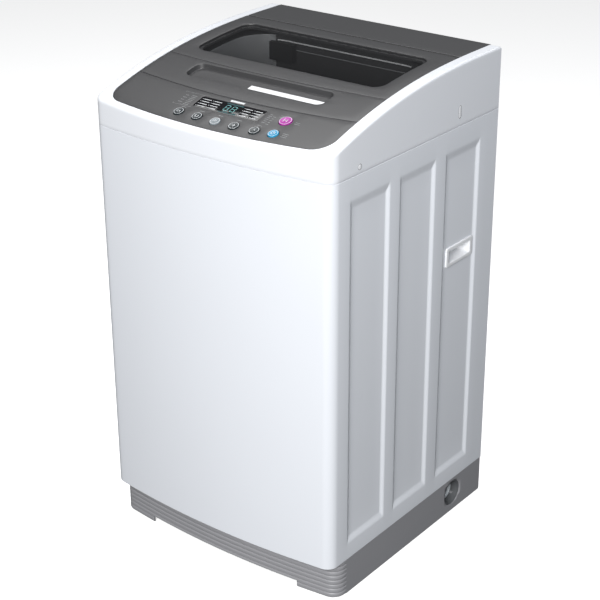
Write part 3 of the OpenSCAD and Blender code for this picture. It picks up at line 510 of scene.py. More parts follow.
def cabinet_shape():
    """The outline, offset by the sheet's thickness, times the height; both faces share the pressing."""
    walls = [(a - 1 * MM, a + PRESS_RUN + 1 * MM) for a in PRESS_BACK[:, 0]]
    walls += [(b - PRESS_RUN - 1 * MM, b + 1 * MM) for b in PRESS_BACK[:, 1]]
    side = spaced(walls + [(REAR_Y - FRONT_Y - 1.5 * MM, REAR_Y - FRONT_Y)], 9, 26 * MM)
    side = np.union1d(side, [GRIP_Y - FRONT_Y - OPENING[0], GRIP_Y - FRONT_Y + OPENING[0]])
    half = bowed_half(HALF_W, 0, CORNER_R, FRONT_Y + side, 26, 12)
    lip = np.array([[HALF_W - 2 * MM, REAR_Y], [HALF_W - REAR_LIP, REAR_Y]])
    path = both_sides(np.vstack([half, lip]))
    heights = spaced([(BASE_TOP, BASE_TOP + 2 * MM), (PRESS_LOW - 1 * MM, PRESS_LOW + PRESS_LOW_RUN + 1 * MM),
                      (PRESS_HIGH - PRESS_HIGH_RUN - 1 * MM, PRESS_HIGH + 1 * MM),
                      (SEAM_Z - 2 * MM, SEAM_Z)], 9, 45 * MM)
    heights = np.union1d(heights, [GRIP_Z - OPENING[1], GRIP_Z + OPENING[1]])
    out = normals_2d(path, closed=False)
    back = (path[:, 1] - FRONT_Y)[:, None]
    on_side = (np.abs(path[:, 0]) > HALF_W - 0.01 * MM)[:, None]
    dent = np.where(on_side, pressing_depth(back, heights[None]), 0)
    edge = np.minimum(heights - BASE_TOP, SEAM_Z - heights)
    hem = 0.5 * SHEET * (1 - np.sqrt(np.clip(1 - (1 - np.clip(edge / (0.8 * MM), 0, 1)) ** 2, 0, 1)))
    faces = []
    for inward in (0, SHEET):
        move = dent + (hem[None] if inward == 0 else SHEET)
        xy = path[:, None] - out[:, None] * move[..., None]
        faces.append(np.dstack([xy, np.broadcast_to(heights, xy.shape[:2])]))
    section = np.concatenate([faces[0], faces[1][:, ::-1]], axis=1)
    shape = Shape().grid(section, wrap_cols=True)
    for end in (section[0], section[-1]):
        n = len(heights)
        strip = np.stack([end[:n], end[:n - 1:-1]], 1)
        shape.grid(strip)
    return shape


def with_openings(shape):
    """Leaves out the faces behind each grip's cup; the grip's flange covers the edge of the opening."""
    points, faces = np.vstack(shape.points), np.vstack(shape.faces)
    middle = points[faces].mean(1)
    behind = (np.abs(middle[:, 1] - GRIP_Y) < OPENING[0]) & (np.abs(middle[:, 2] - GRIP_Z) < OPENING[1])
    behind &= np.abs(middle[:, 0]) > 0.2
    shape.points, shape.faces = [points], [faces[~behind]]
    print("openings leave out", int(behind.sum()), "faces")
    return shape


make("cabinet_wrap", with_openings(cabinet_shape()), ENAMEL, "casing", ["cabinet"])

# %% [markdown]
# Everything above the seam is a flat outline dropped onto the curve of the top. A panel is made of
# rings and fills: a ring carries an edge's profile round an outline, and a fill closes the space
# between outlines with triangles that follow the curve. A Delaunay triangulation does that for any
# outline with any holes, where a plain grid could not.

# %% Outlines, rings and fills
def round_rect(x0, x1, y0, y1, radius, steps=7):
    """A rectangle with quarter circles at its corners, in millimetres from the front in y."""
    turn = np.linspace(0, math.pi / 2, steps)
    corners = [(x1 - radius, y0 + radius, -0.5), (x1 - radius, y1 - radius, 0),
               (x0 + radius, y1 - radius, 0.5), (x0 + radius, y0 + radius, 1)]
    arcs = [np.column_stack([x + radius * np.cos(turn + k * math.pi),
                             y + radius * np.sin(turn + k * math.pi)]) for x, y, k in corners]
    return np.vstack(arcs) * MM + [0, FRONT_Y]


def resampled(loop, step=10 * MM):
    """Splits every side of a loop that is longer than the step into equal parts."""
    ahead = np.roll(loop, -1, 0)
    parts = np.maximum(np.ceil(np.linalg.norm(ahead - loop, axis=1) / step).astype(int), 1)
    start = np.repeat(np.arange(len(loop)), parts)
    share = np.concatenate([np.arange(n) / n for n in parts])[:, None]
    return loop[start] * (1 - share) + ahead[start] * share


def moved(loop, distance):
    """The loop moved outwards by a distance along its normals."""
    return loop + normals_2d(loop) * distance


def on_crown(flat, drop=0.0):
    """Places points of the plan on the curve of the top, a distance below it."""
    return np.column_stack([flat, crown(flat[:, 1]) - drop])


def inside(points, loops):
    """Even-odd test: a point is inside when a ray along +X crosses the loops an odd number of times."""
    odd = np.zeros(len(points), bool)
    for loop in loops:
        ahead = np.roll(loop, -1, 0)
        y = points[:, 1:]
        spans = (loop[:, 1] > y) != (ahead[:, 1] > y)
        rise = np.where(ahead[:, 1] == loop[:, 1], 1, ahead[:, 1] - loop[:, 1])
        x = loop[:, 0] + (y - loop[:, 1]) / rise * (ahead[:, 0] - loop[:, 0])
        odd ^= (spans & (points[:, :1] < x)).sum(1) % 2 == 1
    return odd


def fill(shape, loops, place, step=(22 * MM, 11 * MM)):
    """Triangles between loops, with a grid of points inside; place turns flat points into points in space."""
    rim = np.vstack(loops)
    low, high = rim.min(0), rim.max(0)
    grid = np.meshgrid(*(np.arange(a + d / 2, b, d) for a, b, d in zip(low, high, step)))
    spots = np.column_stack([g.ravel() for g in grid])
    spots = spots[inside(spots, loops)]
    far = np.min(np.linalg.norm(spots[:, None] - rim[None], axis=2), axis=1) > 0.4 * min(step)
    flat = np.vstack([rim, spots[far]])
    edges, start = [], 0
    for loop in loops:
        k = np.arange(len(loop))
        edges += np.column_stack([start + k, start + (k + 1) % len(loop)]).tolist()
        start += len(loop)
    _, _, faces, sources, _, _ = delaunay_2d_cdt([Vector(p) for p in (flat * 1000)], edges, [], 0, 1e-6)
    flat = flat[np.array([source[0] for source in sources])]
    faces = np.array(faces)
    side, other = (flat[faces[:, k]] - flat[faces[:, 0]] for k in (1, 2))
    area = np.abs(side[:, 0] * other[:, 1] - side[:, 1] * other[:, 0])
    longest = np.maximum((side ** 2).sum(1), (other ** 2).sum(1))
    faces = faces[area > 0.004 * longest]
    return shape.add(place(flat), faces[inside(flat[faces].mean(1), loops)])


def rounded(radius, start=0.0, steps=5):
    """A quarter-round edge as (offset, drop) pairs, from the top's edge to the side."""
    turn = np.linspace(0, math.pi / 2, steps)
    return [(start - radius * (1 - math.sin(t)), radius * (1 - math.cos(t))) for t in turn]


def edge_rings(shape, loop, profile, inward=1.0):
    """Carries (offset, drop) pairs round a loop on the curve of the top."""
    rows = [on_crown(moved(loop, inward * offset), drop) for offset, drop in profile]
    return shape.grid(np.array(rows), wrap_cols=True)


def crowned_panel(outer, thick, skirt, holes=(), edge=0.9 * MM, skirt_wall=2 * MM):
    """A panel with a rounded edge and a skirt; each hole is a loop with its own profile."""
    shape = Shape()
    outer = resampled(outer)
    rim = rounded(edge) + [(0, skirt), (-skirt_wall, skirt), (-skirt_wall, thick)]
    edge_rings(shape, outer, rim)
    tops, unders = [moved(outer, -edge)], [moved(outer, -skirt_wall)]
    for loop, profile in holes:
        loop = resampled(loop)
        edge_rings(shape, loop, profile)
        tops.append(moved(loop, profile[0][0]))
        unders.append(moved(loop, profile[-1][0]))
    fill(shape, tops, lambda flat: on_crown(flat))
    fill(shape, unders, lambda flat: on_crown(flat, thick))
    return shape


def hole_profile(edge, thick):
    """The rounded edge of a plain hole, down to the panel's underside."""
    return [(-offset, drop) for offset, drop in rounded(edge)] + [(0, thick)]


def cross_line(back, curve, x):
    """A line across the top that bends back by the curve at its ends."""
    return FRONT_Y + back + curve * (x / HALF_W) ** 2


def strip_loop(half, front, rear, n=25):
    """The outline between two lines across the top, each given as (back, curve)."""
    x = np.linspace(-half, half, n)
    return np.vstack([np.column_stack([x, cross_line(*front, x)]),
                      np.column_stack([x[::-1], cross_line(*rear, x[::-1])])])


# %% [markdown]
# The top frame is one white moulding. Its rims carry the curve of the top, a pocket 18 mm deep holds
# the dark panels, and a collar leads the laundry into the tub. It is built as an outer and an inner
# skin with the same recipe, 3 mm apart, joined at the lower edge and at the mouth. The pocket is
# charcoal, and on the collar that charcoal is also painted shade on its rear wall, while the left wall
# is a lighter grey that paints the light falling on it; the faces there take slots of their own.

# %% Top frame
FRAME_WALL = 3 * MM
RIM_EDGE = 4.5 * MM
MOUTH = round_rect(-198, 198, 118, 398, 70, 14)
BOX_WELL = round_rect(-168, 168, 26, 93, 6, 5)


def u_paths(half, back, corner, pocket_half, pocket_back, pocket_corner, rear):
    """The outer path from one rear corner round the front to the other, and the pocket's path inside it."""
    side = np.arange(0.07, rear - FRONT_Y, 0.012) + FRONT_Y
    outer = bowed_half(half, back, corner, np.append(side, rear), 24, 12)
    outer = np.vstack([outer, [[pocket_half, rear]]])
    pocket = bowed_half(pocket_half, pocket_back, pocket_corner, np.append(side[side < rear - 6 * MM],
                        [rear - RIM_EDGE, rear]), 24, 12)
    return both_sides(outer), both_sides(pocket)


def frame_skin(shape, outer, pocket, edge, top, shelf, foot):
    """One skin: wall, rim, pocket, shelf and rear wall. Returns its loop at the seam."""
    out = normals_2d(outer, closed=False)
    rear_x = np.linspace(pocket[-1, 0], pocket[0, 0], 28)
    rear = np.column_stack([rear_x, np.full(28, pocket[0, 1])])
    rows = [np.column_stack([outer - out * inset, np.full(len(outer), SEAM_Z + z)]) for inset, z in foot]
    rear_rows = [np.column_stack([rear - [0, inset], np.full(28, SEAM_Z + z)]) for inset, z in foot]
    rows += [on_crown(outer, shelf), on_crown(outer, top + edge + 4 * MM)]
    rear_rows.append(on_crown(rear, shelf))
    arc = np.linspace(math.pi / 2, 0, 7) if edge else [0.0]
    for turn in arc:
        rows.append(on_crown(outer - out * edge * (1 - math.sin(turn)), top + edge * (1 - math.cos(turn))))
    wall = np.array(rows)
    shape.grid(wall)
    shape.grid(np.array(rear_rows))
    middle = pocket[1:-1] if edge else pocket
    pocket_wall = np.array([on_crown(middle, drop) for drop in (top, top + edge + 4 * MM, shelf)])
    shape.grid(pocket_wall)
    if edge:
        for end in (0, -1):
            corner = on_crown(pocket[[end]], shelf)
            shape.fan(np.vstack([wall[len(foot):, end], pocket_wall[1:, end], corner]))
    rim = np.vstack([wall[-1][:, :2], middle[1:-1][::-1]])
    fill(shape, [rim], lambda flat: on_crown(flat, top), (9 * MM, 11 * MM))
    holes = [moved(resampled(MOUTH), FRAME_WALL), resampled(BOX_WELL)]
    fill(shape, [np.vstack([pocket, rear[1:-1]]), *holes], lambda flat: on_crown(flat, shelf))
    return np.vstack([wall[0][:, :2], rear_rows[0][1:-1, :2]])


def top_frame_shape():
    """An outer and an inner skin, closed at the seam, round the mouth and round the control box's well."""
    shape = Shape()
    outer, pocket = u_paths(HALF_W, 0, CORNER_R, DARK_W, FASCIA_BACK, 37 * MM, REAR_Y)
    foot = [(0.8 * MM, 0), (0.3 * MM, 0.25 * MM), (0, 0.8 * MM), (0, 6 * MM)]
    low_outer = frame_skin(shape, outer, pocket, RIM_EDGE, 0, SHELF_DROP, foot)
    wall = FRAME_WALL
    outer, pocket = u_paths(HALF_W - wall, wall, CORNER_R - wall, DARK_W + wall, FASCIA_BACK - wall,
                            37 * MM + wall, REAR_Y - wall)
    low_inner = frame_skin(shape, outer, pocket, 0, wall, SHELF_DROP + wall, [(0, 0), (0, 6 * MM)])
    fill(shape, [low_outer, low_inner], lambda flat: np.column_stack([flat, np.full(len(flat), SEAM_Z)]))
    mouth = resampled(MOUTH)
    rows = [on_crown(moved(mouth, -offset), SHELF_DROP + drop) for offset, drop in rounded(wall)]
    rows += [np.column_stack([moved(mouth, s), np.full(len(mouth), SEAM_Z + 4 * MM)]) for s in (0, wall)]
    rows.append(on_crown(moved(mouth, wall), SHELF_DROP + wall))
    shape.grid(np.array(rows), wrap_cols=True)
    edge_rings(shape, resampled(BOX_WELL), [(0, SHELF_DROP), (0, SHELF_DROP + wall)])
    return shape


def bevelled(piece, width, segments=2, angle=40):
    """Rounds the sharp edges of a piece with a Bevel modifier."""
    bevel = piece.modifiers.new("edges", "BEVEL")
    bevel.width = width
    bevel.segments = segments
    bevel.limit_method = "ANGLE"
    bevel.angle_limit = math.radians(angle)
    bevel.harden_normals = True
    return piece


def pocket_slots(piece):
    """Faces in the pocket take the second slot, a charcoal that is painted shade on the collar; those on the
    collar's left wall take the third, a grey of painted light.
    """
    middles = np.empty(len(piece.data.polygons) * 3)
    piece.data.polygons.foreach_get("center", middles)
    x, y, z = middles.reshape(-1, 3).T
    pocket = (np.abs(x) < DARK_W + 0.2 * MM) & (y > bow_y(x, FASCIA_BACK - 0.5 * MM))
    pocket &= (y < REAR_Y - 3.2 * MM) & (z > SEAM_Z + 1 * MM) & (z < crown(y) - 5 * MM)
    collar = pocket & (x < -150 * MM) & (x > -200 * MM) & (z < crown(y) - SHELF_DROP - 1 * MM)
    piece.data.polygons.foreach_set("material_index", pocket.astype(np.int32) + collar)
    print("pocket faces", int(pocket.sum()), "of them on the collar's left", int(collar.sum()))


top_frame = make("top_frame_shell", top_frame_shape(), WHITE_PLASTIC, "casing", ["top_frame"])
# The collar's charcoal is painted shade, and its lighter grey left wall is painted light.
for finish in (DARK_PLASTIC_AND_SHADE, PAINTED_LIGHT_GREY):
    top_frame.data.materials.append(finish)
pocket_slots(top_frame)

# %% [markdown]
# The dark panels are injection mouldings with a fine grain. The fascia has round holes for seven
# buttons and one for the display; the lid is two halves that fold on each other, with a smoked
# window in the rear one and a finger recess in the front one.

# %% Fascia, lid halves and rear deck
FASCIA_TILT = math.radians(17.6)
BUTTONS = {"program": (-75, 36, 9.5), "level": (-34, 35, 9.5), "rinse": (6, 34, 9.5), "spin": (46, 34, 9.5),
           "delay": (88, 35, 9.5), "power": (122, 74, 11.5), "start": (124, 39, 9.5)}
DISPLAY = round_rect(-64, 75, 57, 87, 3)
WINDOW = round_rect(-202, 202, 222, 375, 22, 9)
RECESS = round_rect(-150, 147, 134, 178, 14, 9)


def button_ring(x, back, radius, steps=40):
    """A circle on the tilted fascia, seen from above: an ellipse shortened in y."""
    turn = once_round(steps)
    return np.column_stack([x + radius * np.cos(turn),
                            back + radius * math.cos(FASCIA_TILT) * np.sin(turn)]) * MM + [0, FRONT_Y]


def fascia_shape():
    half = DARK_W - 0.7 * MM
    x = np.linspace(half, 0, 14)
    line = np.column_stack([x, cross_line(LID_BACK - 0.3 * MM, LID_CURVE, x)])
    side = np.arange(0.07, line[0, 1] - FRONT_Y - 0.004, 0.012) + FRONT_Y
    front = bowed_half(half, FASCIA_BACK + 0.7 * MM, 36.3 * MM, side, 24, 12)
    holes = [(DISPLAY, hole_profile(0.5 * MM, 3 * MM))]
    holes += [(button_ring(x, back, radius + 0.5), hole_profile(0.7 * MM, 3 * MM))
              for x, back, radius in BUTTONS.values()]
    return crowned_panel(mirrored(np.vstack([front, line])), 3 * MM, SHELF_DROP, holes, skirt_wall=2.5 * MM)


def lid_rear_shape():
    """The rear half: a rebate holds the window over an inner ledge, and a bead runs along the hinge."""
    half = DARK_W - 1 * MM
    outline = strip_loop(half, (FOLD_BACK + 0.5 * MM, FOLD_CURVE), (HINGE_BACK, 0))
    ledge = [(1.3, 0), (0.9, 0.15), (0.5, 0.5), (0.3, 1.2), (0.3, 4), (-5.6, 4), (-6, 4.4), (-6, 8),
             (8, 8), (8, 2.5)]
    holes = [(WINDOW, [(offset * MM, drop * MM) for offset, drop in ledge])]
    shape = crowned_panel(outline, 2.5 * MM, LID_SKIRT, holes)
    hinge_y, bead = FRONT_Y + HINGE_BACK, 5 * MM
    turn = once_round(24)
    ring = np.column_stack([np.zeros(24), hinge_y + bead * np.cos(turn),
                            crown(hinge_y) - bead + bead * np.sin(turn)])
    ends = [ring + [side * half, 0, 0] for side in (-1, 1)]
    shape.grid(np.array(ends), wrap_cols=True)
    return shape.fan(ends[0]).fan(ends[1])


def lid_front_shape():
    """The front half: a recess with a rounded edge and floor for the fingers."""
    half = DARK_W - 1 * MM
    outline = strip_loop(half, (LID_BACK + 0.7 * MM, LID_CURVE), (FOLD_BACK - 0.5 * MM, FOLD_CURVE))
    shape = Shape()
    outline = resampled(outline)
    recess = resampled(RECESS)
    edge, depth, skin, wall = 0.9 * MM, 9.5 * MM, 2.5 * MM, 2 * MM
    edge_rings(shape, outline, rounded(edge) + [(0, LID_SKIRT), (-wall, LID_SKIRT), (-wall, skin)])
    lip = [(-offset, drop) for offset, drop in rounded(1.2 * MM)]
    turn = np.linspace(0, math.pi / 2, 5)
    foot = [(-(wall - offset), depth - wall + drop)
            for offset, drop in zip(wall * np.cos(turn), wall * np.sin(turn))]
    edge_rings(shape, recess, lip + foot)
    fill(shape, [moved(outline, -edge), moved(recess, 1.2 * MM)], lambda flat: on_crown(flat))
    fill(shape, [moved(recess, -wall)], lambda flat: on_crown(flat, depth))
    edge_rings(shape, recess, [(wall, skin), (wall, depth + wall)])
    fill(shape, [moved(outline, -wall), moved(recess, wall)], lambda flat: on_crown(flat, skin))
    fill(shape, [moved(recess, wall)], lambda flat: on_crown(flat, depth + wall))
    return shape


def deck_shape():
    half = DARK_W - 0.7 * MM
    outline = strip_loop(half, (DECK_BACK, 0), (REAR_Y - FRONT_Y, 0))
    return crowned_panel(outline, 3 * MM, SHELF_DROP, skirt_wall=2.5 * MM)


make("fascia_panel", fascia_shape(), CHARCOAL, "casing", ["control_panel"])
make("lid_rear_half", lid_rear_shape(), CHARCOAL, "lid_rear", ["lid_rear"])
make("lid_front_half", lid_front_shape(), CHARCOAL, "lid_front", ["lid_front"])
make("rear_deck_panel", deck_shape(), CHARCOAL, "casing", ["rear_deck"])

# %% [markdown]
# The window is a sheet of smoked plastic in the rebate, thin and clear enough to show the tub below. Its
# shader is a near-black gloss with an alpha: light that comes in through it then also reaches the drum,
# which refracting glass would keep dark.


# %% Window and display
SMOKED = moulded("smoked_window", (0.012, 0.012, 0.013), 0.06, grain=0.05, scale=40.0, bump=0.01, mottle=0.0)
SMOKED.node_tree.nodes["Principled BSDF"].inputs["Alpha"].default_value = 0.30


def slab_shape(loop, top, bottom, edge=0.5 * MM):
    """A crowned slab between two depths, with a rounded upper edge."""
    shape = Shape()
    loop = resampled(loop)
    edge_rings(shape, loop, [(offset, top + drop) for offset, drop in rounded(edge)] + [(0, bottom)])
    fill(shape, [moved(loop, -edge)], lambda flat: on_crown(flat, top))
    return fill(shape, [loop], lambda flat: on_crown(flat, bottom))


make("lid_window_glass", slab_shape(WINDOW, 0.8 * MM, 4 * MM, 0.6 * MM), SMOKED, "lid_rear", ["lid_window"])
make("display_glass", slab_shape(DISPLAY, 0.3 * MM, 4 * MM, 0.4 * MM), BLACK_GLOSS, "casing",
     ["display_window"])

# %% [markdown]
# Each button is a turned shape on an axis square to the tilted fascia: a dished cap with a rounded
# edge, a flange that stops it from falling out, and a stem. The ring and the sign on it are printed,
# so they are thin faces a twentieth of a millimetre above the cap, and ride with it.


# %% Buttons
def lathe(shape, profile, centre, tilt=0.0, steps=48):
    """Turns (radius, height) pairs round an axis, leaned back by the tilt and placed at the centre."""
    profile = np.array(profile)
    turn = once_round(steps)
    x = profile[:, :1] * np.cos(turn)
    y = profile[:, :1] * np.sin(turn)
    z = np.repeat(profile[:, 1:], steps, axis=1)
    return shape.grid(placed(np.dstack([x, y, z]), centre, tilt), wrap_cols=True)


def placed(points, centre, tilt):
    """Leans points back about X and moves them to the centre; all in millimetres on the way in."""
    lean = np.array([[1, 0, 0], [0, math.cos(tilt), -math.sin(tilt)], [0, math.sin(tilt), math.cos(tilt)]])
    return np.asarray(points) @ lean.T * MM + centre


def on_fascia(x, back):
    y = FRONT_Y + back * MM
    return np.array([x * MM, y, float(crown(y))])


def flat_ring(shape, r0, r1, height, centre, tilt=0.0, steps=40, start=0.0, sweep=2 * math.pi):
    """A thin printed ring, or an arc of one."""
    turn = start + np.linspace(0, sweep, steps + 1)
    rows = [np.column_stack([r * np.cos(turn), r * np.sin(turn), np.full(steps + 1, height)])
            for r in (r0, r1)]
    return shape.grid(placed(np.array(rows), centre, tilt))


def flat_bars(shape, bars, height, centre, tilt=0.0):
    """Thin printed bars, each given as (x, y, width, length)."""
    for x, y, wide, tall in bars:
        corners = [(x, y, height), (x + wide, y, height), (x + wide, y + tall, height), (x, y + tall, height)]
        shape.add(placed(corners, centre, tilt), [[0, 1, 2, 3]])
    return shape


CAP_DARK = moulded("button_dark", (0.020, 0.028, 0.032), 0.25, scale=900.0, bump=0.04)
CAP_LIGHT = moulded("button_light", (0.22, 0.25, 0.27), 0.25, scale=900.0, bump=0.04)
CAP_MAGENTA = moulded("button_magenta", (0.36, 0.006, 0.30), 0.25, scale=900.0, bump=0.04)
CAP_CYAN = moulded("button_cyan", (0.012, 0.28, 0.50), 0.25, scale=900.0, bump=0.04)
PRINT = moulded("printed_white", (0.66, 0.68, 0.70), 0.45, bump=0.02)
PRINT_DIM = moulded("printed_grey", (0.30, 0.31, 0.32), 0.45, bump=0.02)
CAPS = {"rinse": CAP_LIGHT, "power": CAP_MAGENTA, "start": CAP_CYAN}
SIGNS = {
    "program": [(-3.4, 0.8, 6.8, 1), (-3.4, -2.4, 4.2, 1), (-3.4, -2.4, 1, 4), (2.4, -2.4, 1, 4)],
    "level": [(-2.6, -3, 5.2, 1), (-3.2, -3, 1, 5.4), (2.2, -3, 1, 5.4)],
    "rinse": [(-3.4, -1.4, 1, 3.6), (-0.5, -2.6, 1, 5.4), (2.4, -1.4, 1, 3.6)],
    "spin": [(-3, -0.5, 6, 1), (-0.5, -3, 1, 6)],
    "delay": [(-0.5, -0.6, 1, 4.2), (-0.5, -0.6, 3.4, 1)],
    "power": [(-3.6, -3.6, 1.1, 7.2), (2.5, -3.6, 1.1, 7.2), (-1.2, -0.6, 2.4, 1.2)],
    "start": [(-0.6, -0.2, 1.2, 5)],
}


def cap_profile(radius):
    """Stem, flange, side, rounded edge and dished top, from the bottom to the middle of the top."""
    turn = np.linspace(0, math.pi / 2, 5)
    edge = [(radius - 0.8 + 0.8 * math.cos(t), 0.7 + 0.8 * math.sin(t)) for t in turn]
    dish = [(r, 1.5 - 0.35 * (1 - (r / (radius - 0.8)) ** 2)) for r in np.linspace(radius - 0.8, 0, 6)[1:]]
    foot = [(0, -9.6), (2, -9.6), (2, -6.5), (radius + 1.2, -6.5), (radius + 1.2, -5), (radius, -5)]
    return foot + edge + dish


for name, (x, back, radius) in BUTTONS.items():
    seat = on_fascia(x, back)
    cap = lathe(Shape(), cap_profile(radius), seat, FASCIA_TILT)
    make("cap_" + name, cap, CAPS.get(name, CAP_DARK), "button_" + name, ["button_" + name])
    sign = flat_ring(Shape(), radius - 1.7, radius - 1.0, 1.6, seat, FASCIA_TILT)
    if name == "start":
        flat_ring(sign, 3.0, 4.0, 1.6, seat, FASCIA_TILT, 24, 2.1, 5.2)
    flat_bars(sign, SIGNS[name], 1.6, seat, FASCIA_TILT)
    make("sign_" + name, sign, PRINT, "button_" + name, turn=False)

# %% [markdown]
# The display shows two groups of small lights with a number between them, behind black gloss. On the
# fascia round the buttons there are small printed marks. Real ones are silk-screened ink, so they are
# made as faces that lie a twentieth of a millimetre over the surface, in rows of short bars.


# %% Marks on the display and the fascia
SEGMENTS = {"a": (0, 1, 1), "g": (0, 0, 1), "d": (0, -1, 1), "f": (0, 0, 0), "b": (1, 0, 0),
            "e": (0, -1, 0), "c": (1, -1, 0)}


def crown_bars(bars, above):
    """Thin faces over the curve of the top, each given as (x, back, width, depth) in millimetres."""
    shape = Shape()
    for x, back, wide, deep in bars:
        flat = np.array([(x, back), (x + wide, back), (x + wide, back + deep), (x, back + deep)]) * MM
        flat[:, 1] += FRONT_Y
        shape.add(on_crown(flat, -above), [[0, 1, 2, 3]])
    return shape


def digit_bars(x, back, wide, tall, lit):
    """The lit bars of a seven-segment digit, seen from the front."""
    bars = []
    for key in lit:
        dx, dy, lies_across = SEGMENTS[key]
        left = x + dx * wide
        near = back + (dy + 1) * tall / 2
        bars.append((left + 0.5, near - 0.4, wide - 1, 0.9) if lies_across
                    else (left - 0.4, near + 0.5, 0.9, tall / 2 - 1))
    return bars


def lamp_rows(x0, back0, columns, rows, pitch, gap):
    """Rows of short bars with a dot before each, as lights beside their labels."""
    return [(x0 + c * pitch + k * 3.2, back0 + r * gap, wide, 1.3)
            for c in range(columns) for r in range(rows) for k, wide in ((0, 1.3), (1, pitch - 7))]


def lit_material(name, color, strength):
    material = moulded(name, color, 0.4, bump=0.01)
    shader = material.node_tree.nodes["Principled BSDF"]
    shader.inputs["Emission Color"].default_value = (*color, 1)
    shader.inputs["Emission Strength"].default_value = strength
    return material


LIT = lit_material("display_lit", (0.16, 0.42, 0.42), 0.25)
WELL_GREEN = moulded("display_digit_well", (0.030, 0.080, 0.088), 0.15, bump=0.01)
lamps = lamp_rows(-60, 61, 2, 4, 23, 6.4) + lamp_rows(31, 61, 2, 4, 21, 6.4)
make("display_lamps", crown_bars(lamps, -0.25 * MM), PRINT, "casing", turn=False)
make("display_digit_back", crown_bars([(-10, 58.5, 37, 27)], -0.28 * MM), WELL_GREEN, "casing", turn=False)
digits = digit_bars(-4, 65, 8, 14, "abcdefg") + digit_bars(10, 65, 8, 14, "abcdefg")
make("display_digits", crown_bars(digits, -0.24 * MM), LIT, "casing", turn=False)
make("display_label", crown_bars([(-8, 89.5, 30, 4.5)], 0.05 * MM), PRINT, "casing", turn=False)


def label_bars(x, back, wide, rows, gap=3.4):
    """A few rows of short dashes that stand for small print."""
    return [(x + (k % 2) * 0.8, back + k * gap, wide - (k * 1.7) % 3, 0.8) for k in range(rows)]


small_print = label_bars(-98, 60, 9, 4, 6.5) + label_bars(-84, 56, 12, 7, 4.2) + label_bars(84, 58, 8, 6, 4.6)
small_print += label_bars(94, 56, 6, 5, 5.2) + label_bars(104, 80, 8, 2, 4) + label_bars(140, 72, 11, 2, 4)
small_print += label_bars(140, 36, 12, 3, 4) + [(x - 5, 49, 10, 0.8) for x in (-75, -34, 6, 46, 88)]
small_print += [(-104, 53, 42, 0.4), (-104, 53, 0.4, 36), (-104, 89, 42, 0.4), (-88, 53, 0.4, 36)]
make("fascia_print", crown_bars(small_print, 0.05 * MM), PRINT_DIM, "casing", turn=False)

# %% [markdown]
# The bright strip at the front of the recess is a metallised bar; its reflection is painted into its
# colour as a near-white, lighter than the frame. Grips, screw caps and plugs are white mouldings of
# their own, pressed into the sheet or the frame, in the same near-white, which paints in the highlight
# they catch. Each is a ring profile with rounded edges, so it catches a highlight all round as the real
# ones do. A flat dark band round each cap is painted shade: it stands for the shadow in the gap that
# it sits in.


# %% Handle trim, grips, caps and plugs
def handle_trim_shape():
    """A flat bar with rounded edges: square on the left, and following the recess on the right."""
    turn = np.linspace(-math.pi / 2, -0.11, 8)
    corner = np.column_stack([132.9 + 13.8 * np.cos(turn), 148.1 + 13.8 * np.sin(turn)])
    plan = np.vstack([[(-7.8, 146.3), (-7.8, 134.4)], corner]) * MM + [0, FRONT_Y]
    return slab_shape(plan, 0.6 * MM, 4.9 * MM, 0.9 * MM)


# The bar's bright reflection is painted as a near-white colour.
handle = make("handle_bar", handle_trim_shape(), WHITE_PAINTED_HIGHLIGHT, "lid_front", ["handle_trim"])
handle.modifiers.new("flat_top", "WEIGHTED_NORMAL").keep_sharp = True


def rounded_slot(half_y, half_z, radius, steps=7):
    """A rounded rectangle in Y and Z round its own middle, in millimetres."""
    turn = np.linspace(0, math.pi / 2, steps)
    middles = ((1, 1), (-1, 1), (-1, -1), (1, -1))
    return np.vstack([np.column_stack([sy * (half_y - radius) + radius * np.cos(turn + k * math.pi / 2),
                                       sz * (half_z - radius) + radius * np.sin(turn + k * math.pi / 2)])
                      for k, (sy, sz) in enumerate(middles)])


def side_rings(shape, side, rings, centre_y, centre_z):
    """Rings in the side wall's plane: each is (outline, distance from the middle of the machine)."""
    rows = [np.column_stack([np.full(len(loop), side * x * MM), centre_y + loop[:, 0] * MM,
                             centre_z + loop[:, 1] * MM]) for loop, x in rings]
    return shape.grid(np.array(rows), wrap_cols=True), rows


def grip_shape(side):
    """A finger cup: flange edge, rounded mouth, cup wall and cup floor, then the outside of all that."""
    flange, wall, depth, edge, round_in = 2.5, 2, 26, 0.9, 1.4
    face = HALF_W / MM - 4 + flange
    cup_back = face - flange - depth + wall
    outer = [(rounded_slot(43 - edge + edge * math.cos(t), 18.5 - edge + edge * math.cos(t), 4),
              face - edge + edge * math.sin(t)) for t in np.linspace(0, math.pi / 2, 4)]
    lip = [(rounded_slot(34 + round_in - round_in * math.sin(t), 11 + round_in - round_in * math.sin(t), 3.5),
            face - round_in + round_in * math.cos(t)) for t in np.linspace(0, math.pi / 2, 5)]
    cup = [(rounded_slot(33.5, 10.5, 3.2), cup_back + 3), (rounded_slot(32.6, 9.6, 3), cup_back + 0.8),
           (rounded_slot(31, 8, 3), cup_back)]
    shape = Shape()
    _, rows = side_rings(shape, side, outer + lip + cup, GRIP_Y, GRIP_Z)
    shape.fan(rows[-1])
    back = [(rounded_slot(43, 18.5, 4), face - edge), (rounded_slot(43, 18.5, 4), face - flange),
            (rounded_slot(36, 13, 4), face - flange), (rounded_slot(36, 13, 4), cup_back - wall)]
    _, rows = side_rings(shape, side, back, GRIP_Y, GRIP_Z)
    return shape.fan(rows[-1])


FRAME_CAPS = ((4.5, 4.5, 91, 12), (3.5, 11, 384, 26.5))
DOME = ((0, -3.5), (0, -0.1), (0.15, 0.12), (0.6, 0.3), (1.6, 0.38))
# The dark band round each cap is painted shade: a flat ring just over the frame for the shadow in its gap.
PAINTED_SHADOW_BAND = ((0.0, 0.03), (-0.7, 0.03))


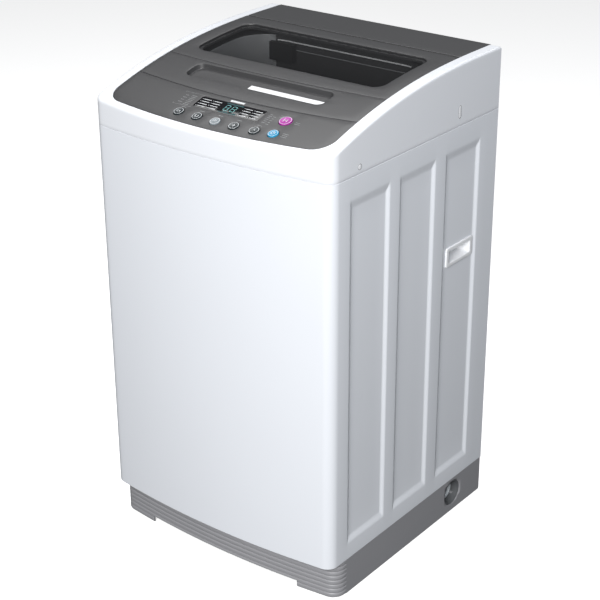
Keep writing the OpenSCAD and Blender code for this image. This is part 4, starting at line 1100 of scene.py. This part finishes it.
def cap_rings(profile, closed):
    """A round and an oblong cap on each side, from (inset, rise) pairs; closed fills their two ends."""
    shape = Shape()
    for side in (-1, 1):
        for half_y, half_z, back, height in FRAME_CAPS:
            rings = [(rounded_slot(half_y - inset, half_z - inset, half_y - inset - 0.01), HALF_W / MM + rise)
                     for inset, rise in profile]
            _, rows = side_rings(shape, side, rings, FRONT_Y + back * MM, SEAM_Z + height * MM)
            if closed:
                shape.fan(rows[-1]).fan(rows[0])
    return shape


# Grips and caps take the near-white, which paints in the highlight they catch.
make("grip_right", grip_shape(1), WHITE_PAINTED_HIGHLIGHT, "casing", ["side_grip_right"])
make("grip_left", grip_shape(-1), WHITE_PAINTED_HIGHLIGHT, "casing", ["side_grip_left"])
make("frame_caps", cap_rings(DOME, True), WHITE_PAINTED_HIGHLIGHT, "casing", ["frame_plugs"])
# The bands round the caps are painted shadow.
make("frame_cap_painted_shadows", cap_rings(PAINTED_SHADOW_BAND, False), DARK_PLASTIC_AND_SHADE, "casing", turn=False)

# %% [markdown]
# The base is one grey moulding: a skirt with eight rounded slats across the front, corner pads that
# carry the feet, and a ledge that the cabinet stands on. The slats are a wave in the skirt's section:
# its depth is a power of the distance from a slat's middle, which gives full slats and thin grooves.
# The wave dies out at the sides. The drain port is cut out of the finished skirt.

# %% Base
BASE_BACK = 20 * MM
BASE_HALF = HALF_W - 0.5 * MM
PAD_Z, SKIRT_Z = 2 * MM, 15 * MM
SLATS = 8
PAD_X = 174 * MM
BASE_REAR = REAR_Y - 1.5 * MM
GROOVE = 1.7 * MM
PORT_Y, PORT_Z, PORT_R = FRONT_Y + 411 * MM, 42 * MM, 26 * MM


def base_outline(half, back, corner, rear, side_step=12 * MM):
    side = np.arange(60 * MM, rear - FRONT_Y - 4 * MM, side_step) + FRONT_Y
    side = np.unique(np.concatenate([side, FRONT_Y + np.linspace(61, 68, 6) * MM]))
    rear_x = np.linspace(half, 0, 24)
    path = np.vstack([bowed_half(half, back, corner, np.append(side, rear), 40, 12),
                      np.column_stack([rear_x[1:], np.full(23, rear)])])
    return path


def base_shape():
    """The skirt: slats as a wave up its outer face, and a lower edge that drops to the floor at the pads."""
    half = base_outline(BASE_HALF, BASE_BACK, 26 * MM, BASE_REAR)
    half = half[np.abs(half[:, 0] - PAD_X) >= 6 * MM]
    step = [PAD_X - 0.1 * MM, PAD_X + 0.1 * MM]
    front_n = int((np.abs(half[:, 0]) < PAD_X).argmin())
    half = np.insert(half, front_n, [[x, float(bow_y(PAD_X, BASE_BACK))] for x in step], axis=0)
    rear_n = len(half) - int((half[::-1, 0] > PAD_X).argmax())
    half = np.insert(half, rear_n, [[x, BASE_REAR] for x in step[::-1]], axis=0)
    path = mirrored(half)
    out = normals_2d(path)
    foot = np.where(np.abs(path[:, 0]) < PAD_X, SKIRT_Z, PAD_Z)[:, None]
    z = np.linspace(PAD_Z, BASE_TOP + 1 * MM, SLATS * 12 + 1)
    phase = np.abs(2 * ((z - PAD_Z) / (BASE_TOP - PAD_Z) * SLATS % 1) - 1)
    back = (path[:, 1] - FRONT_Y)[:, None]
    fade = np.clip((67 * MM - back) / (4 * MM), 0, 1)
    inset = GROOVE * phase[None] ** 4 * fade
    height = np.maximum(z[None], foot)
    outer = np.dstack([path[:, None] - out[:, None] * inset[..., None], height])
    inner_path = path - out * 4 * MM
    top = np.full(len(path), BASE_TOP + 1 * MM)
    rows = [np.column_stack([inner_path, level]) for level in (top, foot[:, 0])]
    section = np.concatenate([outer, np.array(rows).transpose(1, 0, 2)], axis=1)
    return Shape().grid(section, wrap_rows=True, wrap_cols=True)


def prism(shape, loop, low, high):
    """A flat-ended block from an outline."""
    rows = [np.column_stack([loop, np.full(len(loop), z)]) for z in (low, high)]
    shape.grid(np.array(rows), wrap_cols=True)
    for z in (low, high):
        fill(shape, [loop], lambda flat: np.column_stack([flat, np.full(len(flat), z)]), (0.2, 0.2))
    return shape


def base_inside():
    """The ledge under the cabinet, its locating lip, four corner pads and two cross ribs."""
    shape = Shape()
    ledge = [(1.3, 1.3, 21, BASE_REAR), (22, 34, 22, REAR_Y - 20 * MM)]
    lip = [(1.3, 1.3, 21, BASE_REAR), (4, 4, 18, BASE_REAR - 3 * MM)]
    for pair, low, high in ((ledge, 74 * MM, 78 * MM), (lip, 77 * MM, 88 * MM)):
        outer, inner = (mirrored(base_outline(HALF_W - a * MM, b * MM, c * MM, d)) for a, b, c, d in pair)
        n = min(len(outer), len(inner))
        loops = [np.column_stack([loop[:n], np.full(n, z)]) for loop, z in
                 ((outer, low), (outer, high), (inner, high), (inner, low))]
        shape.grid(np.array(loops), wrap_rows=True, wrap_cols=True)
    for sx in (-1, 1):
        for y0, y1 in ((FRONT_Y + 48 * MM, FRONT_Y + 105 * MM), (REAR_Y - 85 * MM, REAR_Y - 4 * MM)):
            block = round_rect(175, 247, 0, (y1 - y0) / MM, 4, 3) - [0, FRONT_Y] + [0, y0]
            prism(shape, (block * [sx, 1])[::sx], PAD_Z, 30 * MM)
    for y in (-100, 96):
        block = round_rect(-253, 253, 0, 4, 0.6, 3) - [0, FRONT_Y] + [0, y * MM]
        prism(shape, block, 5 * MM, 30 * MM)
    return shape


def cut_round(piece, centre, radius, depth):
    """Cuts a round hole along X out of a closed piece, and keeps the result as its mesh."""
    turn = once_round(64)
    ring = np.column_stack([np.zeros(64), radius * np.cos(turn), radius * np.sin(turn)]) + centre
    ends = [ring - [depth, 0, 0], ring + [depth, 0, 0]]
    rod = Shape().grid(np.array(ends), wrap_cols=True).fan(ends[0]).fan(ends[1])
    tool = make("cutter", rod, ENAMEL, "casing")
    cut = piece.modifiers.new("hole", "BOOLEAN")
    cut.object = tool
    cut.solver = "EXACT"
    graph = bpy.context.evaluated_depsgraph_get()
    mesh = bpy.data.meshes.new_from_object(piece.evaluated_get(graph))
    piece.modifiers.clear()
    piece.data = mesh
    bpy.data.objects.remove(tool)
    print(piece.name, "cut,", len(mesh.polygons), "faces")


skirt = make("base_skirt", base_shape(), GREY_BASE, "casing", ["base"])
cut_round(skirt, (HALF_W, PORT_Y, PORT_Z), PORT_R + 0.4 * MM, 20 * MM)
make("base_inside", base_inside(), GREY_BASE, "casing")


# %% [markdown]
# The drain port is a round socket with a spigot inside for the hose. It is turned on its own axis, so
# its profile runs from the outer lip, down the wall, over the floor and round the spigot.

# %% Drain port
def turned_x(profile, y, z, steps=56):
    """Turns (distance from the middle of the machine, radius) pairs round an axis along X."""
    profile = np.array(profile) * MM
    turn = once_round(steps)
    rows = np.dstack([np.repeat(profile[:, :1], steps, axis=1), y + profile[:, 1:] * np.cos(turn),
                      z + profile[:, 1:] * np.sin(turn)])
    return Shape().grid(rows, wrap_rows=True, wrap_cols=True)


PORT = [(226, 9), (226, 14), (233.5, 14), (233.5, 26), (255.6, 26), (256.3, 25.8), (256.5, 25.2),
        (256.4, 24.2), (255.6, 23.6), (237.5, 23.3), (236.2, 22.5), (236, 21), (236, 17), (241, 16.4),
        (242, 15.8), (242, 14), (238.5, 12.6), (238, 9.6), (237, 9)]
SPIGOT = [(230, 12.6), (241.5, 12.6), (243.5, 13.4), (243.5, 16.8), (242, 17.6), (239.5, 17.6),
          (239.5, 19.4), (238, 19.4), (230, 17.6)]
make("drain_socket", turned_x(PORT, PORT_Y, PORT_Z), SOCKET_GREY, "casing", ["drain_outlet"])
make("drain_spigot", turned_x(SPIGOT, PORT_Y, PORT_Z), PALE_PLASTIC, "casing")

# %% [markdown]
# Through the window the laundry side shows: the ring over the tub's rim, the balance ring that steadies
# the basket, the punched steel drum and the pulsator. The rings are turned from closed sections whose
# corners are eased by short curves, as a mould needs. Two half-round beads run along the collar's rear
# wall, coloured as painted highlights: near-white above and a fainter grey below.

# %% Rings
def turned_z(profile, steps=96):
    """Turns (radius, height) pairs in millimetres round the machine's upright axis."""
    profile = np.array(profile, float) * MM
    turn = once_round(steps)
    return np.dstack([profile[:, :1] * np.cos(turn), profile[:, :1] * np.sin(turn),
                      np.repeat(profile[:, 1:], steps, axis=1)])


def soft_corners(section, radius, steps=4):
    """Each corner p becomes the curve (1-t)^2 a + 2t(1-t) p + t^2 b between points a, b on its two sides."""
    corner = np.array(section, float)
    back, ahead = np.roll(corner, 1, 0) - corner, np.roll(corner, -1, 0) - corner
    long_back, long_ahead = (np.linalg.norm(v, axis=1, keepdims=True) for v in (back, ahead))
    reach = np.minimum(radius, 0.45 * np.minimum(long_back, long_ahead))
    a, b = corner + back / long_back * reach, corner + ahead / long_ahead * reach
    t = np.linspace(0, 1, steps)[None, :, None]
    curve = (1 - t) ** 2 * a[:, None] + 2 * t * (1 - t) * corner[:, None] + t ** 2 * b[:, None]
    return curve.reshape(-1, 2)


def turned_ring(section, radius=1.0):
    return Shape().grid(turned_z(soft_corners(section, radius)), wrap_rows=True, wrap_cols=True)


def mouth_bead(height, reach, radius):
    """A half-round bead on the collar's rear wall: its middle follows the mouth's edge at one height."""
    loop = resampled(MOUTH, 6 * MM)
    path = loop[(np.abs(loop[:, 0]) < reach * MM) & (loop[:, 1] > 0)]
    path = path[np.argsort(path[:, 0])]
    turn = np.linspace(-math.pi / 2, math.pi / 2, 7)
    rows = [np.column_stack([path[:, 0], path[:, 1] - radius * MM * math.cos(t),
                             np.full(len(path), (height + radius * math.sin(t)) * MM)]) for t in turn]
    return Shape().grid(np.array(rows))


TUB_GREY = moulded("tub_ring_plastic", (0.42, 0.43, 0.44), 0.36, scale=900.0, bump=0.1)
TUB_LIP = [(186, 737), (190, 737), (190, 745), (237, 745), (237, 749), (226, 749), (224, 747.8), (212, 747.8),
           (210, 749), (190, 749), (190, 757), (186, 757)]
BALANCE = [(189, 690), (212, 690), (212, 722), (207, 722), (205.5, 719.5), (198, 719.5), (196.5, 722),
           (189, 722)]
# Both beads are painted highlights: near-white above, a fainter grey below, on a rear wall whose charcoal is
# painted shade.
make("collar_bead_upper", mouth_bead(875.5, 150, 1.3), WHITE_PAINTED_HIGHLIGHT, "casing")
make("collar_bead_lower", mouth_bead(861.5, 150, 0.9), PAINTED_LIGHT_GREY, "casing")
make("tub_rim_ring", turned_ring(TUB_LIP), TUB_GREY, "tub", ["tub_ring"])
make("steadying_ring", turned_ring(BALANCE, 1.5), TUB_GREY, "basket", ["balance_ring"])


# %% [markdown]
# The drum is steel sheet with rows of holes, punched so that each sits in a shallow dimple. One square
# cell carries the pattern: rings run from its edge to the hole, through the sheet, and back out.

# %% Drum
def drum_shape(columns=36, rows=9, low=358, high=690):
    """Cells (angle, height, ring, point): rings go from the cell's square to the hole, through the dimple."""
    inner, outer = 205.0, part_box("basket")[1].x / MM
    turn = np.arange(16) * math.pi / 8
    circle = np.column_stack([np.cos(turn), np.sin(turn)])
    square = circle / np.abs(circle).max(1, keepdims=True)
    wide, tall = 2 * math.pi * inner / columns, (high - low) / rows
    rings = [(0, 0, outer), (1, 9, outer), (1, 5, outer + 1.0), (1, 2.6, outer + 1.6), (1, 2.6, inner + 1.6),
             (1, 5, inner + 1.0), (1, 9, inner), (0, 0, inner)]
    cell = np.array([np.column_stack([circle * size if kind else square * [wide / 2, tall / 2],
                                      np.full(16, radius)]) for kind, size, radius in rings])
    column, row = np.meshgrid(np.arange(columns), np.arange(rows), indexing="ij")
    angle = (cell[None, None, ..., 0] + column[..., None, None] * wide) / inner
    height = cell[None, None, ..., 1] + low + (row[..., None, None] + 0.5) * tall
    radius = np.broadcast_to(cell[..., 2], angle.shape)
    points = np.stack([radius * np.cos(angle), radius * np.sin(angle), height], -1).reshape(-1, 3) * MM
    faces = np.array(grid_faces(len(rings), 16, False, True))
    start = np.arange(columns * rows)[:, None, None] * cell.shape[0] * 16
    return Shape().add(points, (faces[None] + start).reshape(-1, faces.shape[1]))


drum = drum_shape()
FLOOR = [(25, 356), (205, 356), (205, 358), (196, 358), (190, 359.5), (184, 358), (25, 358)]
drum.grid(turned_z(FLOOR), wrap_rows=True, wrap_cols=True)
make("punched_drum", drum, STAINLESS, "basket", ["basket"])


# %% [markdown]
# The pulsator is a low dome with four curved vanes. As a height over the plane it is a parabola plus a
# raised cosine in the angle, taken to a power to make the vanes narrow and turned with the radius to
# make them sweep. A window in the radius lets them die out at the hub and before the edge.

# %% Pulsator
def pulsator_shape(radius=172, n_rings=44, steps=144):
    """z = 368 + 6 (1 - q^2) + 13 w(q) ((1 + cos(4 (a - 1.1 q))) / 2)^6, q the radius over its full value."""
    q = np.linspace(0.02, 1, n_rings)[:, None]
    a = once_round(steps)[None]
    window = np.sin(math.pi * np.clip((q - 0.14) / 0.82, 0, 1)) ** 0.6
    vane = (0.5 + 0.5 * np.cos(4 * (a - 1.1 * q))) ** 6
    hub = 9 * np.clip(1 - (q / 0.17) ** 4, 0, 1)
    z = 368 + 6 * (1 - q ** 2) + 13 * window * vane + hub
    top = np.stack([radius * q * np.cos(a), radius * q * np.sin(a), z], -1) * MM
    shape = Shape().grid(top, wrap_cols=True).fan(top[0])
    edge = [(172, 368), (172.4, 367), (172.4, 364.6), (172, 364), (30, 364)]
    rim = turned_z(edge, steps)
    return shape.grid(rim, wrap_cols=True).fan(rim[-1])


make("pulsator", pulsator_shape(), PALE_PLASTIC, "impeller", ["impeller"], smooth=50)


# %% [markdown]
# Springs, drain hose and air tube join the hung tub to the casing. Each is
# rings of points round a path. The hose is corrugated: its radius is a cosine of the length along it.

# %% Springs, hose and air tube
HOSE_GREY = moulded("hose_grey", (0.42, 0.43, 0.44), 0.48, scale=700.0, bump=0.2)


def tube_shape(route, radius, reference, sides=16, rib=0.0, pitch=5.0, parts=40):
    """Rings square to a Catmull-Rom curve; the radius falls by rib (1 - cos(2 pi s / pitch)) / 2 along it."""
    ends = np.vstack([2 * route[0] - route[1], route, 2 * route[-1] - route[-2]])
    p0, p1, p2, p3 = (ends[k:len(ends) - 3 + k, None] for k in range(4))
    t = np.linspace(0, 1, parts, endpoint=False)[None, :, None]
    curve = (2 * p1 + (p2 - p0) * t + (2 * p0 - 5 * p1 + 4 * p2 - p3) * t ** 2
             + (3 * p1 - p0 - 3 * p2 + p3) * t ** 3) / 2
    points = np.vstack([curve.reshape(-1, 3), route[-1:]])
    step = np.gradient(points, axis=0)
    length = np.cumsum(np.linalg.norm(step, axis=1))[:, None]
    ahead = step / np.linalg.norm(step, axis=1, keepdims=True)
    across_path = np.cross(ahead, reference)
    across_path /= np.linalg.norm(across_path, axis=1, keepdims=True)
    other = np.cross(across_path, ahead)
    turn = once_round(sides)
    size = (radius - rib * (0.5 - 0.5 * np.cos(2 * math.pi * length / pitch)))[..., None]
    around = across_path[:, None] * np.cos(turn)[:, None] + other[:, None] * np.sin(turn)[:, None]
    rings = (points[:, None] + size * around) * MM
    return Shape().grid(rings, wrap_cols=True).fan(rings[0]).fan(rings[-1])


def springs_shape(turns=8, coil_radius=12.0, wire=1.8, off=208.0):
    """Four coils: (12 cos a, 12 sin a) with a height that grows with a, and a round wire about it."""
    low, high = (corner.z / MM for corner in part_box("suspension_springs"))
    a = np.linspace(0, 2 * math.pi * turns, turns * 26)
    z = low + wire + (high - low - 2 * wire) * a / a[-1]
    radial = np.column_stack([np.cos(a), np.sin(a), np.zeros_like(a)])
    ahead = np.column_stack([-np.sin(a), np.cos(a), np.full_like(a, (high - low) / a[-1] / coil_radius)])
    ahead /= np.linalg.norm(ahead, axis=1, keepdims=True)
    other = np.cross(ahead, radial)
    turn = once_round(8)
    path = radial * coil_radius + np.column_stack([np.zeros_like(a), np.zeros_like(a), z])
    around = radial[:, None] * np.cos(turn)[:, None] + other[:, None] * np.sin(turn)[:, None]
    coil = path[:, None] + wire * around
    shape = Shape()
    for corner in ((-off, -off, 0), (-off, off, 0), (off, -off, 0), (off, off, 0)):
        rings = (coil + corner) * MM
        shape.grid(rings, wrap_cols=True).fan(rings[0]).fan(rings[-1])
    return shape


AIR_PATH = np.array([(190, 190, 844), (190, 190, 834), (190, 190, 806), (172, 214, 776), (160, 232, 740),
                     (160, 234, 600), (160, 234, 450), (160, 230, 350), (158, 214, 306), (151, 180, 292),
                     (148, 158, 295), (148, 154, 305), (148, 154, 311), (148, 154, 317.8)], float)
HOSE_PATH = np.array([(100, -122, 214), (100, -122, 204), (100, -122, 180), (112, -100, 130), (156, -40, 96),
                      (184, 40, 76), (190, 106, 56), (198, 135, 46), (212, 151, 42), (219, 151, 42),
                      (226, 151, 42)], float)
springs = make("springs", springs_shape(), STEEL, None, ["suspension_springs"])
hose = make("corrugated_hose", tube_shape(HOSE_PATH, 14, (1, -0.2, 1), 24, 1.2), HOSE_GREY, None,
            ["drain_hose"])
air = make("air_line", tube_shape(AIR_PATH, 3.5, (1, 0, 0), 12, parts=10), RUBBER, None, ["air_tube"])
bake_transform(springs)
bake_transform(hose)
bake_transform(air)


# %% [markdown]
# The rest keeps the shapes it has: its flat faces and round bores are what the real parts have too.
# A narrow bevel catches the light along the edges, and each part gets the finish it has in a machine.

# %% Finishes for the mechanism
NYLON = moulded("natural_nylon", (0.70, 0.70, 0.66), 0.42, scale=900.0, bump=0.12)
TUB_WHITE = moulded("tub_polymer", (0.72, 0.73, 0.73), 0.40, scale=500.0, bump=0.15)
BOARD = moulded("board_lacquer", (0.02, 0.16, 0.07), 0.30, grain=0.6, scale=220.0, bump=0.3)
MOTOR_PAINT = moulded("motor_paint", (0.03, 0.03, 0.032), 0.34, scale=350.0, bump=0.15)
FILTER_BLUE = moulded("filter_plastic", (0.34, 0.50, 0.62), 0.36, scale=900.0, bump=0.1)
GOLD_ZINC = metal("yellow_zinc", (0.72, 0.56, 0.26), 0.30, stretch=1.0)
MECHANISM = {
    "rear_cover": WHITE_PLASTIC, "screws": STEEL, "bottom_guard": DARK_PLASTIC_AND_SHADE, "fixed_feet": RUBBER,
    "leveller_foot": RUBBER, "lock_nut": ZINC, "control_box": PALE_PLASTIC, "circuit_board": BOARD,
    "lid_pins": STEEL, "lid_magnet": BLACK_PLASTIC, "reed_switch": BLACK_PLASTIC, "inlet_valve": NYLON,
    "inlet_box": BLACK_PLASTIC, "pressure_switch": NYLON, "cord_gland": RUBBER,
    "wiring_harness": BLACK_PLASTIC, "capacitor": CAST, "suspension_rods": ZINC, "spring_cups": DARK_PLASTIC_AND_SHADE,
    "outer_tub": TUB_WHITE, "support_plate": ZINC, "gearbox": CAST,
    "motor": MOTOR_PAINT, "belt": RUBBER, "drain_valve": NYLON, "drain_actuator": BLACK_PLASTIC,
    "pull_link": ZINC, "brake_lever": GOLD_ZINC, "hub_flange": CAST,
    "lint_filter": FILTER_BLUE, "drive_pulley": CAST, "motor_pulley": CAST}
SOFT_EDGED = {"rear_cover", "bottom_guard", "control_box", "inlet_valve", "inlet_box", "pressure_switch",
              "lint_filter", "outer_tub", "gearbox", "motor", "support_plate", "drain_valve", "fixed_feet",
              "leveller_foot", "hub_flange", "drain_actuator", "capacitor", "drive_pulley", "lock_nut"}
for name, finish in MECHANISM.items():
    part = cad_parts[name]
    part.data.materials.clear()
    part.data.materials.append(finish)
    if name in SOFT_EDGED:
        join = part.modifiers.new("join", "WELD")
        join.merge_threshold = 0.00002
        bevelled(part, 0.5 * MM)
print("finished", len(MECHANISM), "parts of the mechanism")
